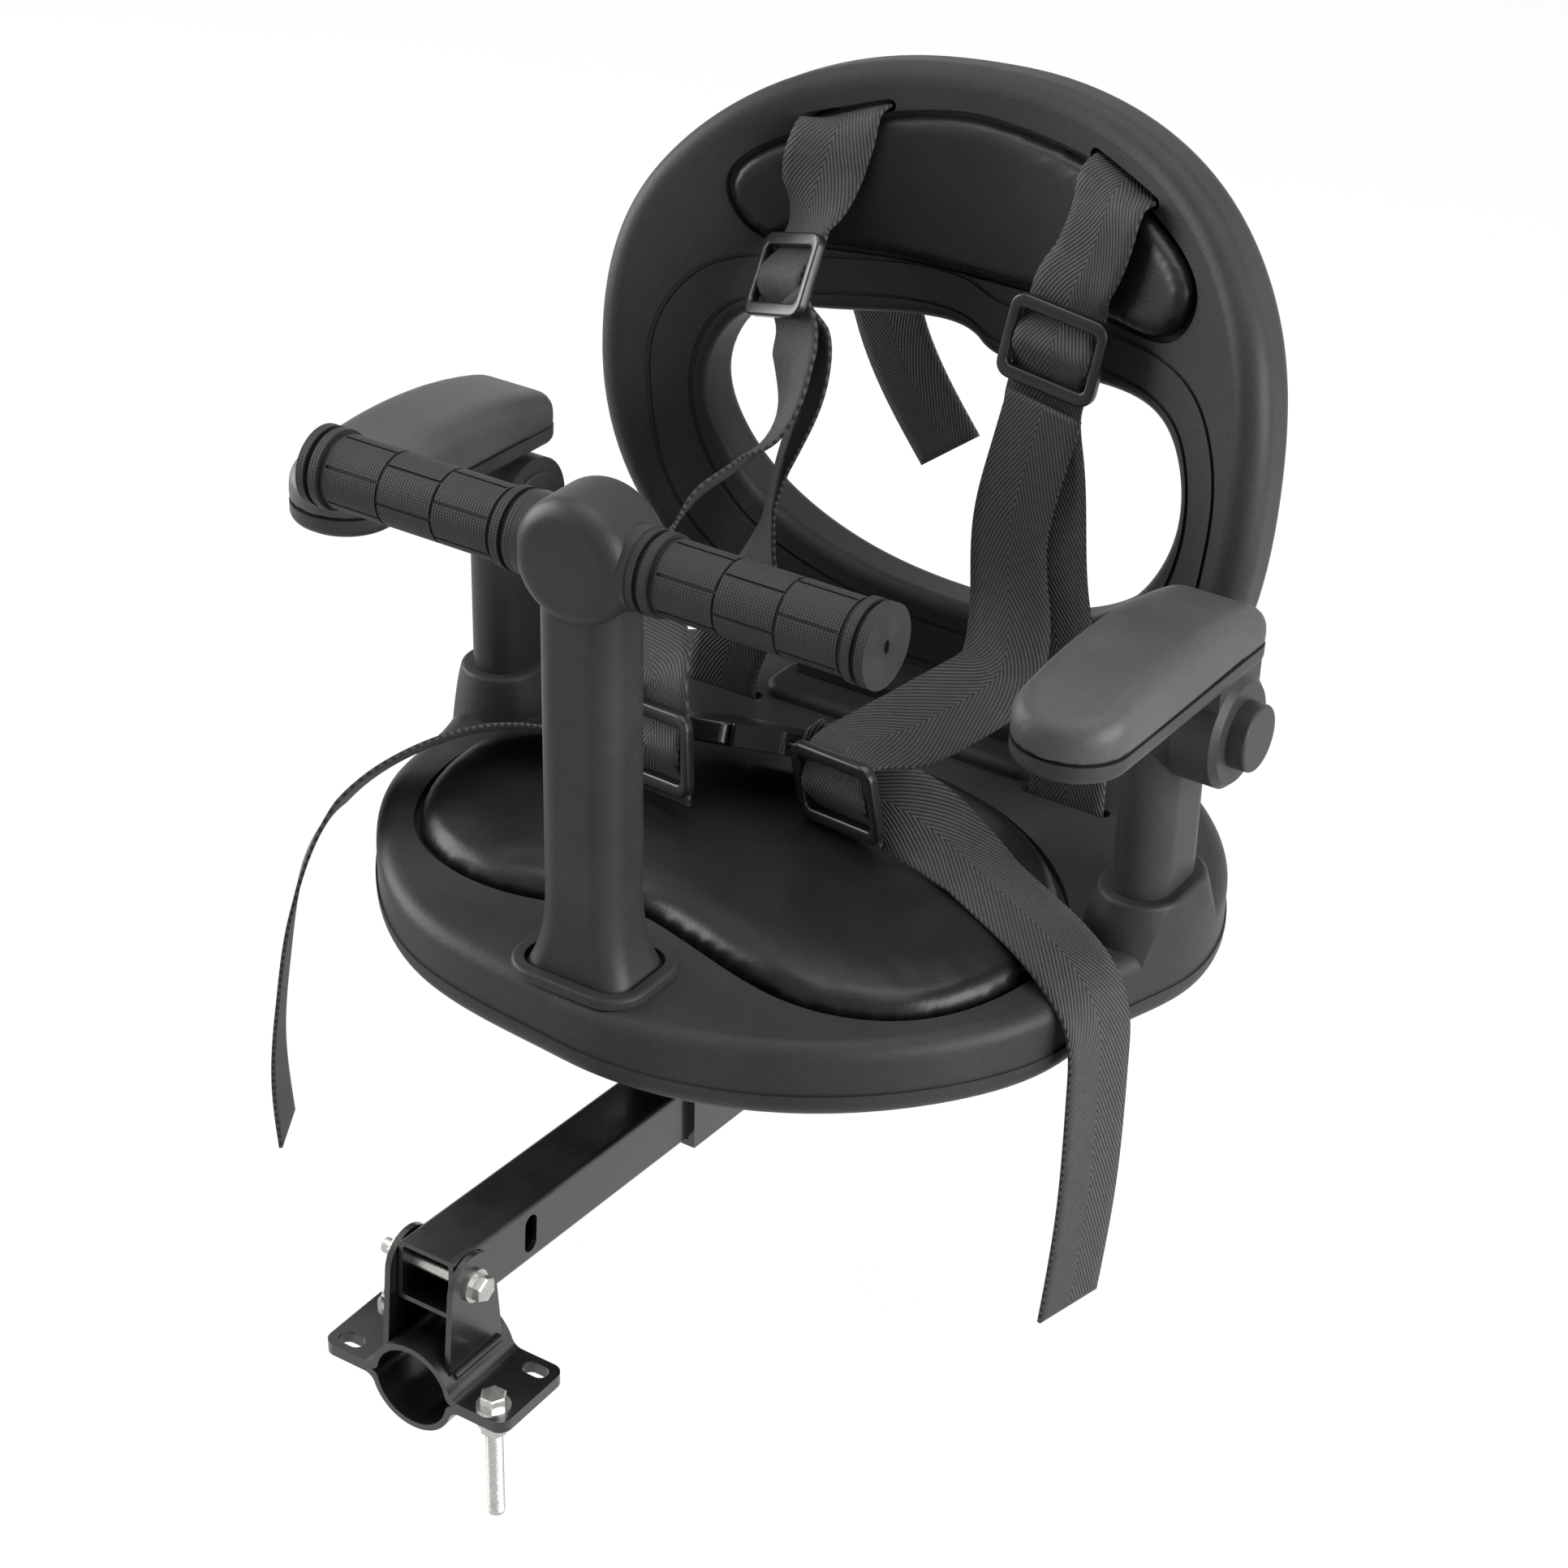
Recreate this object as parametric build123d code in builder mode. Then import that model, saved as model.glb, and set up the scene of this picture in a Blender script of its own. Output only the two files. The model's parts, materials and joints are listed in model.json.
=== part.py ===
from build123d import *
from math import cos, radians, sin, sqrt, tan
import os

os.makedirs("parts", exist_ok=True)

# Child's front bicycle seat. Millimetres; the origin is the middle of the clamp's bore,
# +Z up, the child looks along -Y, X runs from one armrest to the other.

# Crossbar clamp
bore_r = 15.9
plate_t = 2.5
clamp_width = 84.0
clamp_depth = 38.0
plate_corner_r = 5.0
arch_foot_r = 5.0
bore_lip_r = 4.0
slot_x = 33.0
slot_y = 12.5
slot_len = 11.0
slot_w = 6.6
clamp_bolt_len = 50.0

# M6 bolts and nuts
m6_r = 3.0
m6_hole_r = 3.25
bolt_flange_r = 6.5
bolt_flange_t = 1.4
hex_flats = 9.0
hex_h = 4.8
nut_h = 5.6
thread_gap = 0.03

# Pivot ears and square tube
pivot_z = 42.4
ear_t = 2.5
ear_clear = 0.5
ear_r = 12.5
ear_base = 31.0
weld_r = 1.6
pivot_bolt_len = 41.0
tube_w = 25.0
tube_wall = 2.0
tube_corner_r = 2.0
tube_front = 8.5
tube_len = 290.0
tube_tilt = 3.5
pivot_fit = 0.06
tube_slot_at = 38.0
tube_slot_tall = 16.0
tube_slot_wide = 7.0
plug_t = 3.0
plug_deep = 12.0

# Seat board
board_bottom = 90.3
parting_z = 102.3
board_top = 122.3
parting_step = 0.8
lower_round = 10.0
upper_round = 7.0
seat_pad_floor = 118.3
seat_pad_crown = 130.5
seat_pad_round = 8.5
pad_groove = 2.5

# Carrier bracket
carrier_t = 3.0
carrier_front = 140.0
carrier_back = 270.0
carrier_flange = 30.0
carrier_bolt_x = 30.0
carrier_bolt_in = 18.0
tube_bolt_in = 25.0
tube_bolt_len = 42.0
carrier_bolt_len = 20.0
cheek_window_len = 66.0
cheek_window_high = 20.0

# Handlebar
bar_y = 96.0
bar_z = 294.3
bar_r = 11.0
bar_half = 117.0
hub_r = 24.0
hub_depth = 34.0
hub_round = 8.0
hub_boss = 24.2
hub_boss_r = 15.6
hub_fit = 0.06
post_w = 34.0
post_d = 28.0
post_corner_r = 10.0
post_top_down = 13.0
post_base_w = 48.0
post_base_d = 36.0
post_flare_high = 40.0
post_plug_w = 30.0
post_plug_d = 20.0
post_plug_deep = 16.0
post_fit = 0.15
post_collar_t = 5.0
post_collar_h = 4.0
hub_screw_r = 1.75
hub_screw_head_r = 3.5
hub_screw_x = 9.0
hub_screw_z = 15.0
hub_screw_deep = 10.0
grip_end = 120.5
grip_r = 14.0
grip_ring_r = 15.2
grip_ring_w = 3.4
grip_neck_w = 2.2
grip_neck_r = 13.4
grip_fit = 0.06
grip_line_w = 1.1
grip_line_deep = 0.7
grip_panels = 6

# Armrests
post_x = 152.3
arm_y = 247.0
arm_z = 212.2
upright_w = 24.0
upright_l = 40.0
knuckle_r = 21.0
socket_z = 101.0
collar_t = 5.0
collar_h = 18.0
collar_taper = 14.0
arm_tilt = 1.3
arm_x = 161.3
arm_w = 44.0
arm_front = 114.0
arm_rear = 18.4
arm_rear_r = 9.5
arm_under = 23.7
arm_base_t = 8.0
arm_base_round = 4.5
arm_pad_round = 8.5
barrel_r = 22.0
barrel_gap = 0.4
barrel_end = 182.7
barrel_chamfer = 2.5
cap_r = 13.0
cap_t = 7.5
cover_r = 15.0
cover_t = 2.0
pin_r = 4.0
pin_fit = 0.06
stop_r = 2.5
stop_at = 14.0
stop_deep = 4.0
stop_gap = 0.35
arm_swing = 85.0

# Backrest
back_y = 360.0
back_slope = 0.08
back_r = 223.0
back_t = 25.0
back_round = 8.5
hole_round = 5.5
back_pad_sunk = 3.0
back_pad_proud = 6.0
back_pad_round = 5.0
pad_seat_gap = 0.1
line_w = 2.0
line_deep = 1.2
strap_slot_x = 62.5
strap_slot_z = 71.0
strap_slot_len = 38.5
strap_slot_high = 5.5
strap_slot_turn = 18.0
foot_w = 116.0
foot_front = 322.0
foot_back = 373.0
foot_top = 134.0
foot_bottom = 106.0
foot_fit = 0.3
ridge_w = 134.0
ridge_front = 306.0
ridge_back = 334.0
ridge_top = 128.0
foot_bolt_y = 348.0
foot_bolt_x = 36.0
upright_bolt_len = 24.0

# Harness
webbing_w = 34.0
webbing_t = 1.6
anchor_x = 84.0
anchor_y = 303.0
anchor_wide = 6.5
slider_rail = 3.2
slider_bar = 3.8
slider_high = 32.0
slider_t = 3.0
slider_gap = 0.9
buckle_w = 40.0
buckle_t = 9.0
socket_len = 36.0
plug_body = 24.0
prong_len = 20.0
prong_t = 4.0
prong_gap = 0.5
mouth_deep = 8.0
mouth_gap = 0.6

# Lengths that follow from those above
arch_r = bore_r + plate_t
ear_in = tube_w / 2 + ear_clear
ear_out = ear_in + ear_t
ear_foot_z = sqrt((bore_r + 0.2) ** 2 - ear_in ** 2)
cheek_out = tube_w / 2 + carrier_t
slope = radians(tube_tilt)
lean = radians(arm_tilt)
inner_w = tube_w - 2 * tube_wall
board_h = board_top - board_bottom
knuckle_in = post_x - upright_w / 2
knuckle_out = post_x + upright_w / 2
barrel_in = knuckle_out + barrel_gap

tube_plane = Plane((0, 0, pivot_z), x_dir=(1, 0, 0), z_dir=(0, cos(slope), -sin(slope)))
tube_side = Plane((0, 0, pivot_z), x_dir=(0, cos(slope), -sin(slope)), z_dir=(1, 0, 0))
arm_plane = Plane((arm_x, arm_y, arm_z), x_dir=(1, 0, 0), z_dir=(0, sin(lean), cos(lean)))
arm_side = Plane((arm_x, arm_y, arm_z), x_dir=(0, cos(lean), -sin(lean)), z_dir=(1, 0, 0))
back_up = Vector(0, back_slope, 1).normalized()
back_section = Plane((0, back_y, bar_z), x_dir=(1, 0, 0), z_dir=back_up)
back_face = Plane((0, back_y, bar_z), x_dir=(1, 0, 0), z_dir=(0, -back_up.Z, back_up.Y))


def flange_bolt(shank):
    """Hex bolt with a washer face at z = 0 and its shank pointing down."""
    with BuildPart() as bolt:
        with BuildSketch():
            Circle(bolt_flange_r)
        extrude(amount=bolt_flange_t)
        with BuildSketch(Plane.XY.offset(bolt_flange_t)):
            RegularPolygon(hex_flats / 2, 6, major_radius=False)
        extrude(amount=hex_h)
        chamfer(bolt.edges().group_by(Axis.Z)[-1], 0.5)
        with BuildSketch():
            Circle(m6_r)
        extrude(amount=-shank)
        chamfer(bolt.edges().group_by(Axis.Z)[0], 0.5)
    return bolt.part


def flange_nut():
    """Hex nut with its washer face at z = 0, pointing up."""
    with BuildPart() as nut:
        with BuildSketch():
            Circle(bolt_flange_r)
        extrude(amount=bolt_flange_t)
        with BuildSketch():
            RegularPolygon(hex_flats / 2, 6, major_radius=False)
        extrude(amount=nut_h)
        with BuildSketch():
            Circle(m6_r + thread_gap)
        extrude(amount=nut_h, mode=Mode.SUBTRACT)
    return nut.part


def clamp_half(plane):
    """Pressed plate: two slotted flanges either side of a half-round saddle."""
    with BuildPart() as half:
        with BuildSketch(plane) as profile:
            Circle(arch_r)
            Rectangle(3 * arch_r, 2 * arch_r, align=(Align.CENTER, Align.MAX), mode=Mode.SUBTRACT)
            Rectangle(clamp_width, plate_t, align=(Align.CENTER, Align.MIN))
            Circle(bore_r, mode=Mode.SUBTRACT)
            inner = [v for v in profile.vertices() if abs(v.X) < clamp_width / 2 - 1]
            fillet([v for v in inner if v.Y > plate_t / 2], arch_foot_r)
            inner = [v for v in profile.vertices() if abs(v.X) < bore_r + 0.01]
            fillet([v for v in inner if v.Y < plate_t / 2], bore_lip_r)
        extrude(amount=clamp_depth / 2, both=True)
        corners = [e for e in half.edges().filter_by(Axis.Z) if abs(e.center().X) > clamp_width / 2 - 0.1]
        fillet(corners, plate_corner_r)
        with BuildSketch(Plane.XY):
            with GridLocations(2 * slot_x, 2 * slot_y, 2, 2):
                SlotOverall(slot_len, slot_w)
        extrude(amount=2 * plate_t, both=True, mode=Mode.SUBTRACT)
    return half.part


def outline(half, out=0):
    """Closed smooth outline from its right half, with every point moved outwards by a distance."""
    points = [Vector(x, y) for x, y in half + [(-x, y) for x, y in half[-2:0:-1]]]
    middle = (points[0] + points[len(half) - 1]) * 0.5
    moved = []
    for i, point in enumerate(points):
        along = points[(i + 1) % len(points)] - points[i - 1]
        away = Vector(along.Y, -along.X).normalized()
        if away.dot(point - middle) < 0:
            away = -away
        moved.append(point + away * out)
    with BuildSketch() as face:
        with BuildLine():
            Spline(moved, periodic=True)
        make_face()
    return face.sketch


def sections(stations, count):
    """Planes across a strap: each station is a point and the way its width points."""
    line = Spline([point for point, across in stations])
    marks = [line.param_at_point(point) for point, across in stations]
    planes = []
    for i in range(len(stations) - 1):
        for j in range(count):
            part = j / count
            t = marks[i] + (marks[i + 1] - marks[i]) * part
            wide = Vector(*stations[i][1]) * (1 - part) + Vector(*stations[i + 1][1]) * part
            planes.append(Plane(line @ t, x_dir=wide - (line % t) * wide.dot(line % t), z_dir=line % t))
    wide = Vector(*stations[-1][1])
    planes.append(Plane(line @ 1, x_dir=wide - (line % 1) * wide.dot(line % 1), z_dir=line % 1))
    return planes


def ribbon(stations, count):
    """Webbing along a smooth line."""
    with BuildPart() as strap:
        for place in sections(stations, count):
            with BuildSketch(place):
                Rectangle(webbing_w, webbing_t)
        loft(ruled=True)
    return strap.part


def face_on(stations, index):
    """Plane lying on a strap at one station, looking forwards."""
    place = sections(stations, 1)[index]
    ahead = place.y_dir if place.y_dir.Y < 0 else -place.y_dir
    return Plane(place.origin, x_dir=place.x_dir, z_dir=ahead)


def slider(place):
    """Webbing slider: a frame in front of the strap, its middle bar behind it."""
    window_w = webbing_w + 2 * slider_gap
    frame_w = window_w + 2 * slider_rail
    reach = webbing_t / 2 + slider_gap
    with BuildPart() as frame:
        with BuildSketch(place.offset(reach)):
            RectangleRounded(frame_w, slider_high, 3)
            RectangleRounded(window_w, slider_high - 2 * slider_bar, 1.5, mode=Mode.SUBTRACT)
        extrude(amount=slider_t)
        with BuildSketch(place.offset(-reach - slider_t)):
            with GridLocations(window_w + slider_rail, 0, 2, 1):
                Rectangle(slider_rail, slider_high / 2)
        extrude(amount=2 * reach + slider_t)
        with BuildSketch(place.offset(-reach)):
            Rectangle(frame_w, 2 * slider_rail)
        extrude(amount=-slider_t)
    return frame.part


# Crossbar clamp
with BuildPart() as clamp_upper_plate:
    add(clamp_half(Plane.XZ))
    for side in (ear_in, -ear_out):
        with BuildSketch(Plane.YZ.offset(side)):
            with Locations((0, pivot_z)):
                Circle(ear_r)
            with Locations((0, ear_foot_z)):
                Rectangle(ear_base, 1, align=(Align.CENTER, Align.MIN))
            make_hull()
            with Locations((0, pivot_z)):
                Circle(m6_hole_r, mode=Mode.SUBTRACT)
        extrude(amount=ear_t)
    weld_x = ear_out + 0.5
    weld_z = sqrt(arch_r ** 2 - weld_x ** 2)
    with Locations((weld_x, 0, weld_z), (-weld_x, 0, weld_z)):
        Cylinder(weld_r, ear_base - 4, rotation=(90, 0, 0))
clamp_upper_plate.part.label = "clamp_upper_plate"
export_step(clamp_upper_plate.part, "parts/clamp_upper_plate.step")

with BuildPart() as clamp_lower_plate:
    add(clamp_half(Plane((0, 0, 0), x_dir=(1, 0, 0), z_dir=(0, 1, 0))))
clamp_lower_plate.part.label = "clamp_lower_plate"
export_step(clamp_lower_plate.part, "parts/clamp_lower_plate.step")

with BuildPart() as clamp_bolts:
    with Locations((slot_x, -slot_y, plate_t), (-slot_x, slot_y, plate_t)):
        add(flange_bolt(clamp_bolt_len))
clamp_bolts.part.label = "clamp_bolts"
export_step(clamp_bolts.part, "parts/clamp_bolts.step")

with BuildPart() as clamp_nuts:
    with Locations((slot_x, -slot_y, -plate_t), (-slot_x, slot_y, -plate_t)):
        add(Rot(180, 0, 0) * flange_nut())
clamp_nuts.part.label = "clamp_nuts"
export_step(clamp_nuts.part, "parts/clamp_nuts.step")

with BuildPart() as pivot_bolt:
    add(Plane((ear_out, 0, pivot_z), z_dir=(1, 0, 0)).location * flange_bolt(pivot_bolt_len))
pivot_bolt.part.label = "pivot_bolt"
export_step(pivot_bolt.part, "parts/pivot_bolt.step")

with BuildPart() as pivot_nut:
    add(Plane((-ear_out, 0, pivot_z), z_dir=(-1, 0, 0)).location * flange_nut())
pivot_nut.part.label = "pivot_nut"
export_step(pivot_nut.part, "parts/pivot_nut.step")

# Square tube and the bracket that carries the seat on it
mid_bolts = [carrier_front + tube_bolt_in, carrier_back - tube_bolt_in]
tube_bolt_at = [y / cos(slope) for y in mid_bolts]

with BuildPart() as square_tube:
    with BuildSketch(tube_plane.offset(-tube_front)):
        RectangleRounded(tube_w, tube_w, tube_corner_r)
        RectangleRounded(inner_w, inner_w, tube_corner_r / 2, mode=Mode.SUBTRACT)
    extrude(amount=tube_len)
    with BuildSketch(tube_side):
        Circle(m6_r + pivot_fit)
        with Locations((tube_slot_at, 0)):
            SlotOverall(tube_slot_tall, tube_slot_wide, rotation=90)
        with Locations([(d, 0) for d in tube_bolt_at]):
            Circle(m6_hole_r)
    extrude(amount=tube_w, both=True, mode=Mode.SUBTRACT)
square_tube.part.label = "square_tube"
export_step(square_tube.part, "parts/square_tube.step")

with BuildPart() as tube_end_plug:
    with BuildSketch(tube_plane.offset(tube_len - tube_front)):
        RectangleRounded(tube_w, tube_w, tube_corner_r)
    extrude(amount=plug_t)
    fillet(tube_end_plug.edges().group_by(Axis.Y)[-1], 1)
    with BuildSketch(tube_plane.offset(tube_len - tube_front)):
        RectangleRounded(inner_w, inner_w, 2 * tube_corner_r)
    extrude(amount=-plug_deep)
tube_end_plug.part.label = "tube_end_plug"
export_step(tube_end_plug.part, "parts/tube_end_plug.step")

tube_under = tube_w / 2 / cos(slope)
front_z = pivot_z - carrier_front * tan(slope) - tube_under
back_z = pivot_z - carrier_back * tan(slope) - tube_under
carrier_mid = (carrier_front + carrier_back) / 2
carrier_len = carrier_back - carrier_front
window_z = (board_bottom + pivot_z - carrier_mid * tan(slope) + tube_under) / 2
flange_z = board_bottom - carrier_t

with BuildPart() as carrier_bracket:
    with BuildSketch(Plane.YZ):
        Polygon(
            (carrier_front, board_bottom), (carrier_front, front_z - carrier_t),
            (carrier_back, back_z - carrier_t), (carrier_back, board_bottom), align=None)
        with Locations((carrier_mid, window_z)):
            SlotOverall(cheek_window_len, cheek_window_high, mode=Mode.SUBTRACT)
    extrude(amount=cheek_out, both=True)
    with BuildSketch(Plane.YZ):
        Polygon(
            (carrier_front - 1, board_bottom + 1), (carrier_front - 1, front_z + tan(slope)),
            (carrier_back + 1, back_z - tan(slope)), (carrier_back + 1, board_bottom + 1), align=None)
    extrude(amount=tube_w / 2, both=True, mode=Mode.SUBTRACT)
    flange_x = cheek_out + carrier_flange / 2
    with Locations((flange_x, carrier_mid, flange_z), (-flange_x, carrier_mid, flange_z)):
        Box(carrier_flange, carrier_len, carrier_t, align=(Align.CENTER, Align.CENTER, Align.MIN))
    with BuildSketch(Plane.XY.offset(board_bottom)):
        with Locations((0, carrier_mid)):
            with GridLocations(2 * carrier_bolt_x, carrier_len - 2 * carrier_bolt_in, 2, 2):
                Circle(m6_hole_r)
    extrude(amount=-2 * carrier_t, mode=Mode.SUBTRACT)
    with BuildSketch(tube_side):
        with Locations([(d, 0) for d in tube_bolt_at]):
            Circle(m6_hole_r)
    extrude(amount=2 * tube_w, both=True, mode=Mode.SUBTRACT)
carrier_bracket.part.label = "carrier_bracket"
export_step(carrier_bracket.part, "parts/carrier_bracket.step")

with BuildPart() as tube_bolts:
    for d in tube_bolt_at:
        bearing = Plane(tube_side.from_local_coords((d, 0, cheek_out)), z_dir=(1, 0, 0))
        add(bearing.location * flange_bolt(tube_bolt_len))
tube_bolts.part.label = "tube_bolts"
export_step(tube_bolts.part, "parts/tube_bolts.step")

with BuildPart() as tube_nuts:
    for d in tube_bolt_at:
        bearing = Plane(tube_side.from_local_coords((d, 0, -cheek_out)), z_dir=(-1, 0, 0))
        add(bearing.location * flange_nut())
tube_nuts.part.label = "tube_nuts"
export_step(tube_nuts.part, "parts/tube_nuts.step")

with BuildPart() as carrier_bolts:
    with Locations((0, carrier_mid, flange_z)):
        with GridLocations(2 * carrier_bolt_x, carrier_len - 2 * carrier_bolt_in, 2, 2):
            add(Rot(180, 0, 0) * flange_bolt(carrier_bolt_len))
carrier_bolts.part.label = "carrier_bolts"
export_step(carrier_bolts.part, "parts/carrier_bolts.step")

# Seat board: one moulding with a parting line, collars for the uprights and a ridge for the backrest
board_half = [(0, 71), (76, 84), (135, 132), (155, 170), (161, 206), (172, 244), (157, 306), (100, 360), (0, 384)]
pad_half = [(0, 136), (40, 125), (78, 120), (112, 134), (133, 172), (134, 206), (108, 250), (60, 280), (0, 288)]
upright_bolt_places = [
    (0, bar_y), (post_x, arm_y), (-post_x, arm_y),
    (0, foot_bolt_y), (foot_bolt_x, foot_bolt_y), (-foot_bolt_x, foot_bolt_y)]

with BuildPart() as collars:
    collar_foot = collar_t + (board_top + collar_h - parting_z) * tan(radians(collar_taper))
    with BuildSketch(Plane.XY.offset(parting_z)):
        with Locations((post_x, arm_y), (-post_x, arm_y)):
            SlotOverall(upright_l + 2 * collar_foot, upright_w + 2 * collar_foot, rotation=90)
    extrude(amount=board_top + collar_h - parting_z, taper=collar_taper)
    fillet(collars.edges().group_by(Axis.Z)[-1], 2)
    with BuildSketch(Plane.XY.offset(parting_z)):
        add(outline(board_half, -parting_step))
    extrude(amount=board_h + collar_h, mode=Mode.INTERSECT)

with BuildPart() as seat_board:
    with BuildSketch(Plane.XY.offset(parting_z)):
        add(outline(board_half))
    extrude(amount=board_bottom - parting_z)
    fillet(seat_board.edges().group_by(Axis.Z)[0], lower_round)
    with BuildSketch(Plane.XY.offset(parting_z)):
        add(outline(board_half, -parting_step))
    extrude(amount=board_top - parting_z)
    fillet(seat_board.edges().group_by(Axis.Z)[-1], upper_round)
    add(collars.part)
    with BuildSketch(Plane.XY.offset(board_top)):
        with Locations((0, bar_y)):
            RectangleRounded(
                post_base_w + 2 * post_collar_t, post_base_d + 2 * post_collar_t, post_corner_r + post_collar_t)
    extrude(amount=post_collar_h)
    fillet(seat_board.edges(Select.LAST).group_by(Axis.Z)[-1], 1.5)
    with BuildSketch(Plane.XY.offset(board_top - 1)):
        with Locations((0, (ridge_front + ridge_back) / 2)):
            RectangleRounded(ridge_w, ridge_back - ridge_front, 9)
    extrude(amount=ridge_top - board_top + 1)
    fillet(seat_board.edges(Select.LAST).group_by(Axis.Z)[-1], 4)
    with BuildSketch(Plane.XY.offset(socket_z)):
        with Locations((post_x, arm_y), (-post_x, arm_y)):
            SlotOverall(upright_l + 2 * post_fit, upright_w + 2 * post_fit, rotation=90)
    extrude(amount=board_h + collar_h, mode=Mode.SUBTRACT)
    with BuildSketch(Plane.XY.offset(board_top)):
        with Locations((0, bar_y)):
            RectangleRounded(post_base_w + 2 * post_fit, post_base_d + 2 * post_fit, post_corner_r)
    extrude(amount=post_collar_h, mode=Mode.SUBTRACT)
    with BuildSketch(Plane.XY.offset(board_top)):
        with Locations((0, bar_y)):
            RectangleRounded(post_plug_w + 2 * post_fit, post_plug_d + 2 * post_fit, 6)
    extrude(amount=-post_plug_deep, mode=Mode.SUBTRACT)
    with BuildSketch(Plane.XY.offset(foot_bottom)):
        with Locations((0, (foot_front + foot_back) / 2)):
            Rectangle(foot_w + 2 * foot_fit, foot_back - foot_front + 2 * foot_fit)
    extrude(amount=board_h, mode=Mode.SUBTRACT)
    with BuildSketch(Plane.XY.offset(seat_pad_floor)):
        add(outline(pad_half, pad_groove))
    extrude(amount=board_h, mode=Mode.SUBTRACT)
    with BuildSketch(Plane.XY.offset(board_bottom)):
        with Locations((anchor_x, anchor_y), (-anchor_x, anchor_y)):
            SlotOverall(webbing_w + anchor_wide, anchor_wide)
        with Locations(upright_bolt_places):
            Circle(m6_hole_r)
    extrude(amount=board_h, mode=Mode.SUBTRACT)
    with BuildSketch(Plane.XY.offset(board_bottom)):
        with Locations((0, carrier_mid)):
            with GridLocations(2 * carrier_bolt_x, carrier_len - 2 * carrier_bolt_in, 2, 2):
                Circle(m6_hole_r)
    extrude(amount=carrier_bolt_len, mode=Mode.SUBTRACT)
seat_board.part.label = "seat_board"
export_step(seat_board.part, "parts/seat_board.step")

with BuildPart() as seat_pad:
    with BuildSketch(Plane.XY.offset(seat_pad_floor)):
        add(outline(pad_half))
    extrude(amount=seat_pad_crown - seat_pad_floor)
    fillet(seat_pad.edges().group_by(Axis.Z)[-1], seat_pad_round)
seat_pad.part.label = "seat_pad"
export_step(seat_pad.part, "parts/seat_pad.step")

with BuildPart() as upright_bolts:
    with Locations([(x, y, board_bottom) for x, y in upright_bolt_places]):
        add(Rot(180, 0, 0) * flange_bolt(upright_bolt_len))
upright_bolts.part.label = "upright_bolts"
export_step(upright_bolts.part, "parts/upright_bolts.step")

# Backrest: an oval shell wrapped round the child, with an opening and a sunk half-moon pad
back_half = [(0, 97), (60, 90.6), (112, 66.2), (143, 27.5), (153, -25), (147, -80), (122, -130), (70, -166), (0, -176)]
hole_half = [(0, -13), (70, -13.5), (100, -20), (111, -42), (105, -72), (88, -96), (50, -120), (0, -128)]
outer_line_half = [(0, 10), (80, 9), (114, 0), (129, -24), (130, -57), (118, -104), (80, -142), (0, -158)]
inner_line_half = [(0, -6), (80, -7), (104, -15), (115, -38), (110, -78), (92, -108), (52, -132), (0, -140)]
moon_half = [(0, 77), (45, 71.5), (84, 57), (105, 37), (96, 19.5), (70, 15.5), (0, 16)]


def wrapped(shape, near, far):
    """Solid between two wrapped surfaces, measured back from the shell's front, inside an outline."""
    with BuildPart() as band:
        with BuildSketch(back_section.offset(-200)):
            with Locations((0, -back_r)):
                Circle(back_r + far)
                Circle(back_r + near, mode=Mode.SUBTRACT)
            Rectangle(340, 200, mode=Mode.INTERSECT)
        extrude(amount=320)
        with BuildSketch(back_face.offset(-200)):
            add(shape)
        extrude(amount=400, mode=Mode.INTERSECT)
    return band.part


def long_edges(shape):
    """Edges that run round an outline, without the short ones through the thickness."""
    return [e for e in shape.edges() if e.length > 2 * back_t]


with BuildPart() as backrest:
    add(wrapped(outline(back_half), 0, back_t))
    fillet(long_edges(backrest), back_round)
    with BuildSketch(Plane.XY.offset(foot_bottom)):
        with Locations((0, (foot_front + foot_back) / 2)):
            Rectangle(foot_w, foot_back - foot_front)
    extrude(amount=foot_top - foot_bottom)
    add(wrapped(outline(hole_half), -1, back_t + 1), mode=Mode.SUBTRACT)
    fillet([e for e in long_edges(backrest) if e in backrest.edges(Select.LAST)], hole_round)
    add(wrapped(outline(moon_half, pad_groove), -5, back_pad_sunk), mode=Mode.SUBTRACT)
    for line in (outer_line_half, inner_line_half):
        groove = outline(line, line_w / 2) - outline(line, -line_w / 2)
        add(wrapped(groove, -5, line_deep), mode=Mode.SUBTRACT)
    with BuildSketch(back_face):
        for side in (1, -1):
            with Locations((side * strap_slot_x, strap_slot_z)):
                SlotOverall(strap_slot_len, strap_slot_high, rotation=-side * strap_slot_turn)
    extrude(amount=100, both=True, mode=Mode.SUBTRACT)
    with BuildSketch(Plane.XY.offset(foot_bottom)):
        with Locations((0, foot_bolt_y), (foot_bolt_x, foot_bolt_y), (-foot_bolt_x, foot_bolt_y)):
            Circle(m6_hole_r)
    extrude(amount=upright_bolt_len, mode=Mode.SUBTRACT)
backrest.part.label = "backrest"
export_step(backrest.part, "parts/backrest.step")

with BuildPart() as back_pad:
    add(wrapped(outline(moon_half), -back_pad_proud, back_pad_sunk - pad_seat_gap))
    fillet(sorted(long_edges(back_pad), key=lambda e: e.center().Y)[0], back_pad_round)
back_pad.part.label = "back_pad"
export_step(back_pad.part, "parts/back_pad.step")

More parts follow.
